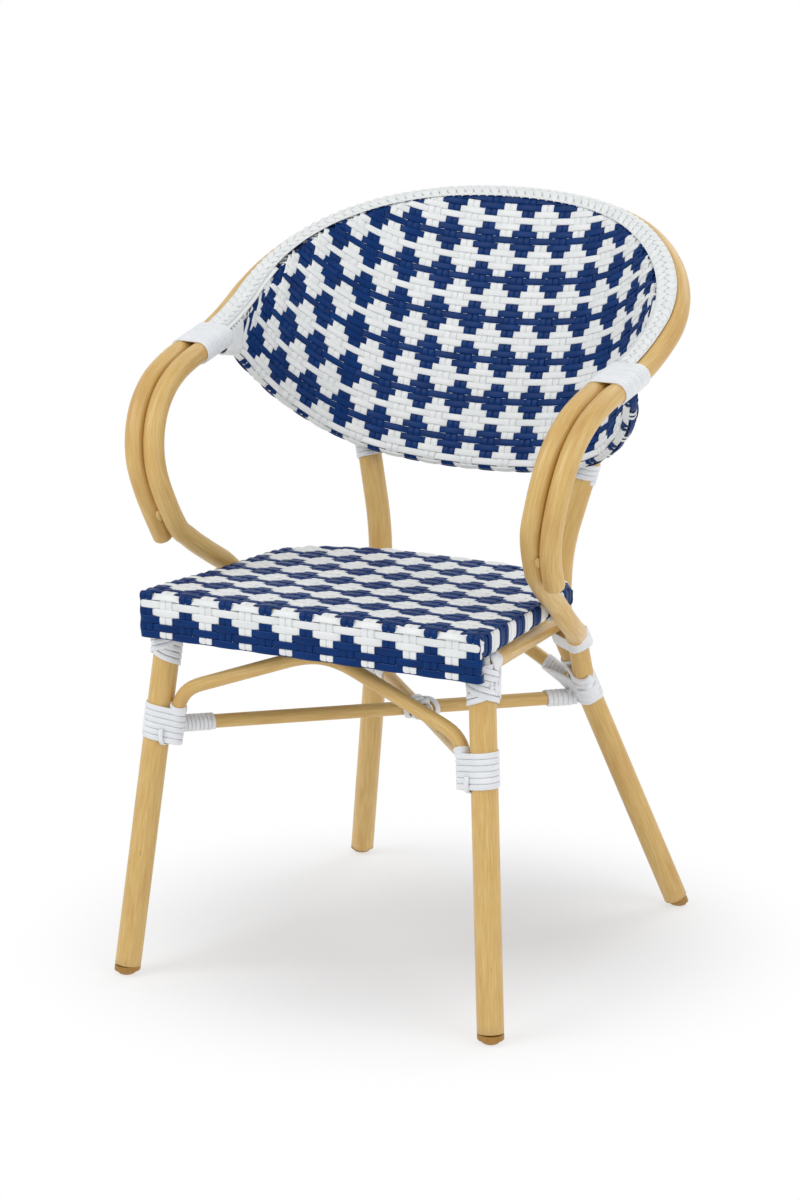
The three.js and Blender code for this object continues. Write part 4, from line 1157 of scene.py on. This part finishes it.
# %% Seat columns
EDGE_HEIGHT = FIRST_ROW + EDGE_ROW * FRONT_PITCH
APRON_DEPTH = 40


def row_at(p, before, step, rear):
    """The number of the row that a place on a column has reached, with a fraction."""
    if p.y < APRON_DEPTH and p.z < EDGE_HEIGHT:
        return (p.z - FIRST_ROW) / FRONT_PITCH
    if p.y < TOP_START:
        gone = p.y - FRONT_FACE + p.z - EDGE_HEIGHT
        return EDGE_ROW + gone / (TOP_START - FRONT_FACE + seat_top(0) - EDGE_HEIGHT)
    if p.y < rear - 9 and p.z > 440:
        return APRON_ROWS + (p.y - TOP_START) / ROW_PITCH
    return before + step / ROW_PITCH


skin = Skin()
for pair in range(-LAST_PAIR, LAST_PAIR + 1):
    for half in (-1, 1):
        front_x = pair * SEAT_PITCH + half * PAIR_HALF
        rear = seat_rear(front_x * narrowing(290))
        flat = [Vector((front_x * narrowing(y), y, z)) for y, z in (
            (FRONT_FACE + TUCK, APRON_BASE), (FRONT_FACE, APRON_BASE), (FRONT_FACE, SEAT_TOP),
            (rear, SEAT_TOP), (rear, SIDE_BASE), (rear - TUCK, SIDE_BASE))]
        line = evenly(rounded(flat[:4], 5.5, 6)[:-1] + rounded(flat[2:], 9, 6)[1:], COLUMN_STEP)
        for p in line:
            p.z += (seat_top(p.y) - SEAT_TOP) * clamped((p.z - APRON_BASE) / (SEAT_TOP - APRON_BASE))
        normals = tangent_normals(line, Vector((1, 0, 0)))
        if normals[len(normals) // 2].z < 0:
            normals = [-n for n in normals]
        points = []
        row = 0.0
        for i, (p, n) in enumerate(zip(line, normals)):
            row = row_at(p, row, (p - line[i - 1]).length if i else 0.0, rear)
            on_top = clamped((p.z - SEAT_TOP + 6) / 6) if p.y < rear - 8 else 1.0
            drop = side_drop(p.x, p.y) * on_top if p.z > SEAT_TOP - 6 else 0.0
            height = warp_height(pair, 2 - row)
            # A navy pair arches over the row that lies on the front edge
            if pair % 2 == 0 and p.y < APRON_DEPTH:
                height += 1.3 * math.exp(-((row - 5.35) / 0.42) ** 2)
            points.append(place(*(p + n * height - UP * drop)))
        colour_slot = NAVY if pair % 2 == 0 else WHITE
        skin.sweep(points, warp_outline, normals, slot=colour_slot, shift=pair * 1.1 + half * 0.3)
seat_columns = skin.build("seat_columns", [warm_white, navy])
finish_piece(seat_columns, "weave_strand")

# %% [markdown]
# The back is woven between two bent rods that meet at the arms. Its sheet is straight from rod to rod and
# wraps round both of them. Pairs of columns are equally spaced along the rods, and rows are counted up the
# columns from the lower rod, so they follow its curve and run out at the upper one.

# %% The back's surface
LOWER_ROD = [
    (0, 391.5, 551), (45, 391.2, 552.1), (90.1, 389.3, 556), (134, 386.2, 563.3), (179.9, 375.1, 581),
    (224.1, 341.7, 618.9), (243.3, 315.8, 649), (254.1, 289.1, 678.1),
]
UPPER_ROD = [
    (0, 506.8, 842), (58.9, 504.6, 839.7), (113, 494.1, 833.2), (161, 471.8, 821.8), (200.9, 441.6, 804.9),
    (230.2, 409.9, 783.6), (247.8, 379.4, 760.8), (255.7, 349.3, 738.7), (256.4, 313.1, 718.2),
]
BACK_PITCH = 24.5
ROLL = 7.0
lower_half = spline([Vector(p) for p in LOWER_ROD], 12)
lower_half = evenly(lower_half + [Vector(UPPER_ROD[-1])], 1.0)
upper_half = evenly(spline([Vector(p) for p in UPPER_ROD], 12), 1.0)


def on_half(route, s):
    length = (route[1] - route[0]).length
    place_in = min(abs(s) / length, len(route) - 1.001)
    index = int(place_in)
    p = route[index].lerp(route[index + 1], place_in - index)
    return Vector((math.copysign(p.x, s) if s else p.x, p.y, p.z))


def column_ends(s):
    return on_half(lower_half, s), on_half(upper_half, s)


Column = namedtuple("Column", "low high up length facing across")
known_columns = {}


def column_for(s):
    """The column at a distance s along the rods, with its ends, its length and its three directions."""
    s = round(s, 1)
    if s not in known_columns:
        low, high = column_ends(s)
        before_low, before_high = column_ends(s - 2)
        after_low, after_high = column_ends(s + 2)
        up = (high - low).normalized()
        across = (after_low - before_low + after_high - before_high).normalized()
        facing = turned(across.cross(up).normalized(), Y, -1)
        known_columns[s] = Column(low, high, up, (high - low).length, facing, across)
    return known_columns[s]


def back_spot(column, d):
    """The point of the sheet's middle at a distance d up the column, and its outward direction."""
    if 0 <= d <= column.length:
        return column.low + column.up * d + column.facing * ROLL, column.facing
    end, way, past = (column.low, -1, -d) if d < 0 else (column.high, 1, d - column.length)
    out = column.facing * math.cos(past / ROLL) + column.up * way * math.sin(past / ROLL)
    return end + out * ROLL, out


WRAP = ROLL * math.radians(285)
BACK_END = 386.0
print("back column in the middle:", round(column_for(0).length, 1), "mm, near the tips:",
      round(column_for(BACK_END).length, 1))

# %% [markdown]
# Back rows: each row lies at one distance up the columns from the lower rod. Where the columns are too short
# for it, near the tips and at the top, the row breaks off, so one row can be several runs. Beyond the upper
# rod the rows lie flat against it.

# %% Back rows
skin = Skin()
steps = int(2 * BACK_END / ROW_STEP)
places = [-BACK_END + 2 * BACK_END * k / steps for k in range(steps + 1)]
last_row = int((column_for(0).length + WRAP) / ROW_PITCH)
for number in range(-4, last_row + 1):
    d = ROW_PITCH * number
    cycle = (number + 4) % ALL_ROWS
    runs = [[]]
    for s in places:
        if d < column_for(s).length + WRAP:
            runs[-1].append(s)
        elif runs[-1]:
            runs.append([])
    for run in runs:
        if len(run) < 4:
            continue
        points, normals, widths = [], [], []
        for s in run:
            column = column_for(s)
            p, n = back_spot(column, d)
            past = clamped((d - column.length) / 5)
            height = weft_height(s / BACK_PITCH + 1, cycle) * (1 - past) - 1.3 * past
            points.append(place(*(p + n * height)))
            normals.append(n)
        for i, s in enumerate(run):
            column = column_for(s)
            along = (points[min(i + 1, len(points) - 1)] - points[max(i - 1, 0)]).normalized()
            widths.append(max(0.55, along.cross(column.up).length) if 0 <= d <= column.length else 0.9)
        skin.sweep(points, weft_outline, normals, slot=row_colour(cycle), widths=widths,
                   shift=number * 0.67 + 50)
back_wefts = skin.build("back_wefts", [warm_white, navy])
finish_piece(back_wefts, "weave_strand", "back_weave")

# %% [markdown]
# Back columns: pairs of strands at an even pitch run up the sheet and wrap round both rods. Where the rods
# slant, the strands of a pair lie closer together, so they are drawn narrower.

# %% Back columns
skin = Skin()
for pair in range(-15, 16):
    for half in (-1, 1):
        s = pair * BACK_PITCH + half * PAIR_HALF
        if abs(s) > BACK_END:
            continue
        column = column_for(s)
        lean = max(0.6, column.across.cross(column.up).length)
        covered = column.length + 2 * WRAP
        steps = max(8, int(covered / COLUMN_STEP))
        points, normals = [], []
        for k in range(steps + 1):
            d = covered * k / steps - WRAP
            p, n = back_spot(column, d)
            points.append(place(*(p + n * warp_height(pair + 1, d / ROW_PITCH + 4))))
            normals.append(n)
        colour_slot = WHITE if pair % 2 == 0 else NAVY
        skin.sweep(points, warp_outline, normals, slot=colour_slot, widths=[lean] * len(points),
                   shift=pair * 1.3 + half * 0.4)
back_columns = skin.build("back_columns", [warm_white, navy])
finish_piece(back_columns, "weave_strand")

# %% [markdown]
# At each end of the braid the two rods come together under the arm. Six turns of the white strand bind them
# there and close the gap between the braid's end and the last rows.

# %% Tip lashings
for side, sign in SIDES.items():
    skin = Skin()
    low = mirror(straight(place(254.1, 290, 679.5), place(253.5, 258, 685)), sign)
    high = mirror(straight(place(256, 304, 706.5), place(254, 260, 694)), sign)
    wind(skin, [(low, 6.9 * MM), (high, 6.6 * MM)], 6, 8 * MM, phase=0.75, steps=44)
    piece = skin.build(f"tip_lashing_{side}", [warm_white])
    finish_piece(piece, "white_strand")

# %% [markdown]
# A herringbone braid covers the joint between the hoop and the woven back. It is made of short plump strands
# in two rows that slant to the middle, each row on a thin band. Near both ends, where the rows of the weave
# run out, one more strand lies along its inner edge.

# %% Braid
BRAID_PITCH = 11.5 * MM
BRAID_INSET = 4.6 * MM
PER_LOBE = 8
braid_route = [p for p in evenly(hoop_route, 1 * MM) if p.z > 695 * MM and p.y > (259 - FRONT_FEET) * MM]
braid_route = evenly(braid_route, BRAID_PITCH / PER_LOBE)
# A point that the whole curve bends round, and the braid's fall towards it
BRAID_HEART = Vector((0, 0.1, 0))
slope = math.tan(math.radians(7))


def braid_spot(index, reach, rise):
    """A point above the hoop: reach counts inward from the hoop's crown, and rise counts outward."""
    index = min(max(index, 1), len(braid_route) - 2)
    along = (braid_route[index + 1] - braid_route[index - 1]).normalized()
    inward = UP.cross(along).normalized()
    if inward.dot(BRAID_HEART - braid_route[index]) < 0:
        inward.negate()
    lift = turned(along.cross(inward).normalized(), Z)
    aside = min(1.0, abs(2 * index / len(braid_route) - 1) * 1.25)
    reach *= 1 - 0.2 * eased(aside)
    past = max(0.0, reach - 13 * MM) / MM
    fall = slope * reach + 0.026 * past ** 2 * MM
    facing = (lift + inward * (slope + 0.052 * past)).normalized()
    return braid_route[index] + inward * (reach + BRAID_INSET) + lift * (rise + 12.2 * MM - fall), facing


def braid_strip(skin, indices, reach, rise, outline):
    """A flat strip that keeps one reach and one height along the braid."""
    spots = [braid_spot(index, reach, rise) for index in indices]
    skin.sweep([p for p, _ in spots], outline, [facing for _, facing in spots])


skin = Skin()
for middle in (6.5 * MM, 19 * MM):
    braid_strip(skin, range(0, len(braid_route), 4), middle, 0.8 * MM, oval(13.4 * MM, 1.6 * MM))
tip_reach = round(0.15 * len(braid_route))
for indices in (range(0, tip_reach, 4), range(len(braid_route) - 1, len(braid_route) - tip_reach, -4)):
    braid_strip(skin, indices, 27.2 * MM, -0.4 * MM, oval(7.6 * MM, 1.8 * MM))
lobe_outline = oval(8.1 * MM, 4.2 * MM, 12)
LOBE_SIZES = (0.5, 0.82, 0.97, 1, 1, 1, 0.95, 0.8, 0.55)
lobes = 0
for index in range(5, len(braid_route) - 4, PER_LOBE):
    # The outer row starts at the hoop and the inner one at the braid's inner edge, half a pitch on
    for row, first, last in ((0, 1.6, 13.8), (1, 24.4, 12.2)):
        spots = []
        for k in range(len(LOBE_SIZES)):
            t = k / (len(LOBE_SIZES) - 1)
            rise = (0.2 + 2.5 * math.sin(math.pi * (0.06 + 0.88 * t))) * MM
            at = index + round((t - 0.5) * PER_LOBE) + row * PER_LOBE // 2
            spots.append(braid_spot(at, (first + (last - first) * t) * MM, rise))
        skin.sweep([p for p, _ in spots], lobe_outline, [facing for _, facing in spots], sizes=LOBE_SIZES,
                   shift=index * 0.013 + row)
        lobes += 1
braid = skin.build("herringbone_braid", [warm_white])
finish_piece(braid, "white_strand", "back_braid")
print("braid lobes:", lobes)

# %% [markdown]
# The chair stands on a plain pale floor that keeps its shadow and fades into white further out. The world is
# white for the camera and for reflections, and gives a soft even light otherwise.

# %% Floor and light
PURE_WHITE = (1, 1, 1, 1)
FLOOR_RADIUS, FLOOR_SIDES = 4, 96
floor_skin = bpy.data.meshes.new("floor")
floor_ring = [(x, y, 0) for x, y in circle(FLOOR_RADIUS, FLOOR_SIDES)]
floor_skin.from_pydata(floor_ring, [], [tuple(range(FLOOR_SIDES))])
floor = add_object("floor", floor_skin)
floor_material, tree, shader = new_material("pale_studio_floor")
spot = node(tree, "ShaderNodeTexCoord").outputs["Object"]
far = node(tree, "ShaderNodeVectorMath", {"operation": "LENGTH"}, {"Vector": spot}).outputs["Value"]
fade = node(tree, "ShaderNodeMapRange", {
    "interpolation_type": "SMOOTHSTEP", "in:From Min": 0.1, "in:From Max": 0.5}, {"Value": far}).outputs[0]
white = node(tree, "ShaderNodeEmission", {"in:Color": PURE_WHITE, "in:Strength": 1.0}).outputs[0]
mixed = node(tree, "ShaderNodeMixShader", {}, {0: fade, 1: shader.outputs[0], 2: white}).outputs[0]
tree.links.new(mixed, tree.nodes["Material Output"].inputs["Surface"])
shader.inputs["Base Color"].default_value = (0.825, 0.83, 0.845, 1)
shader.inputs["Roughness"].default_value = 0.9
floor_skin.materials.append(floor_material)

world = bpy.data.worlds.new("studio")
bpy.context.scene.world = world
world.use_nodes = True
tree = world.node_tree
background = tree.nodes["Background"]
background.inputs["Color"].default_value = PURE_WHITE
background.inputs["Strength"].default_value = 0.55
ray = node(tree, "ShaderNodeLightPath").outputs
seen = ray["Is Camera Ray"]
for other in ("Is Glossy Ray", "Is Transmission Ray"):
    either = node(tree, "ShaderNodeMath", {"operation": "ADD", "use_clamp": True}, {0: seen, 1: ray[other]})
    seen = either.outputs[0]
backdrop = node(tree, "ShaderNodeBackground", {"in:Color": PURE_WHITE, "in:Strength": 1.0}).outputs[0]
chosen = node(tree, "ShaderNodeMixShader", {}, {0: seen, 1: background.outputs[0], 2: backdrop}).outputs[0]
tree.links.new(chosen, tree.nodes["World Output"].inputs["Surface"])

CHAIR_MIDDLE = Vector((0, 0, 0.45))
for name, energy, size, location in (
    ("key", 56, 2.2, (-1.6, -2.4, 3.0)),
    ("fill", 32, 2.5, (2.9, -0.8, 2.0)),
    ("back", 20, 2.0, (0.6, 2.6, 2.6)),
):
    lamp_data = bpy.data.lights.new(name, "AREA")
    lamp_data.energy = energy
    lamp_data.size = size
    lamp = add_object(name, lamp_data)
    lamp.location = location
    lamp.rotation_euler = (CHAIR_MIDDLE - lamp.location).to_track_quat("-Z", "Y").to_euler()

bpy.context.scene.view_settings.view_transform = "Standard"
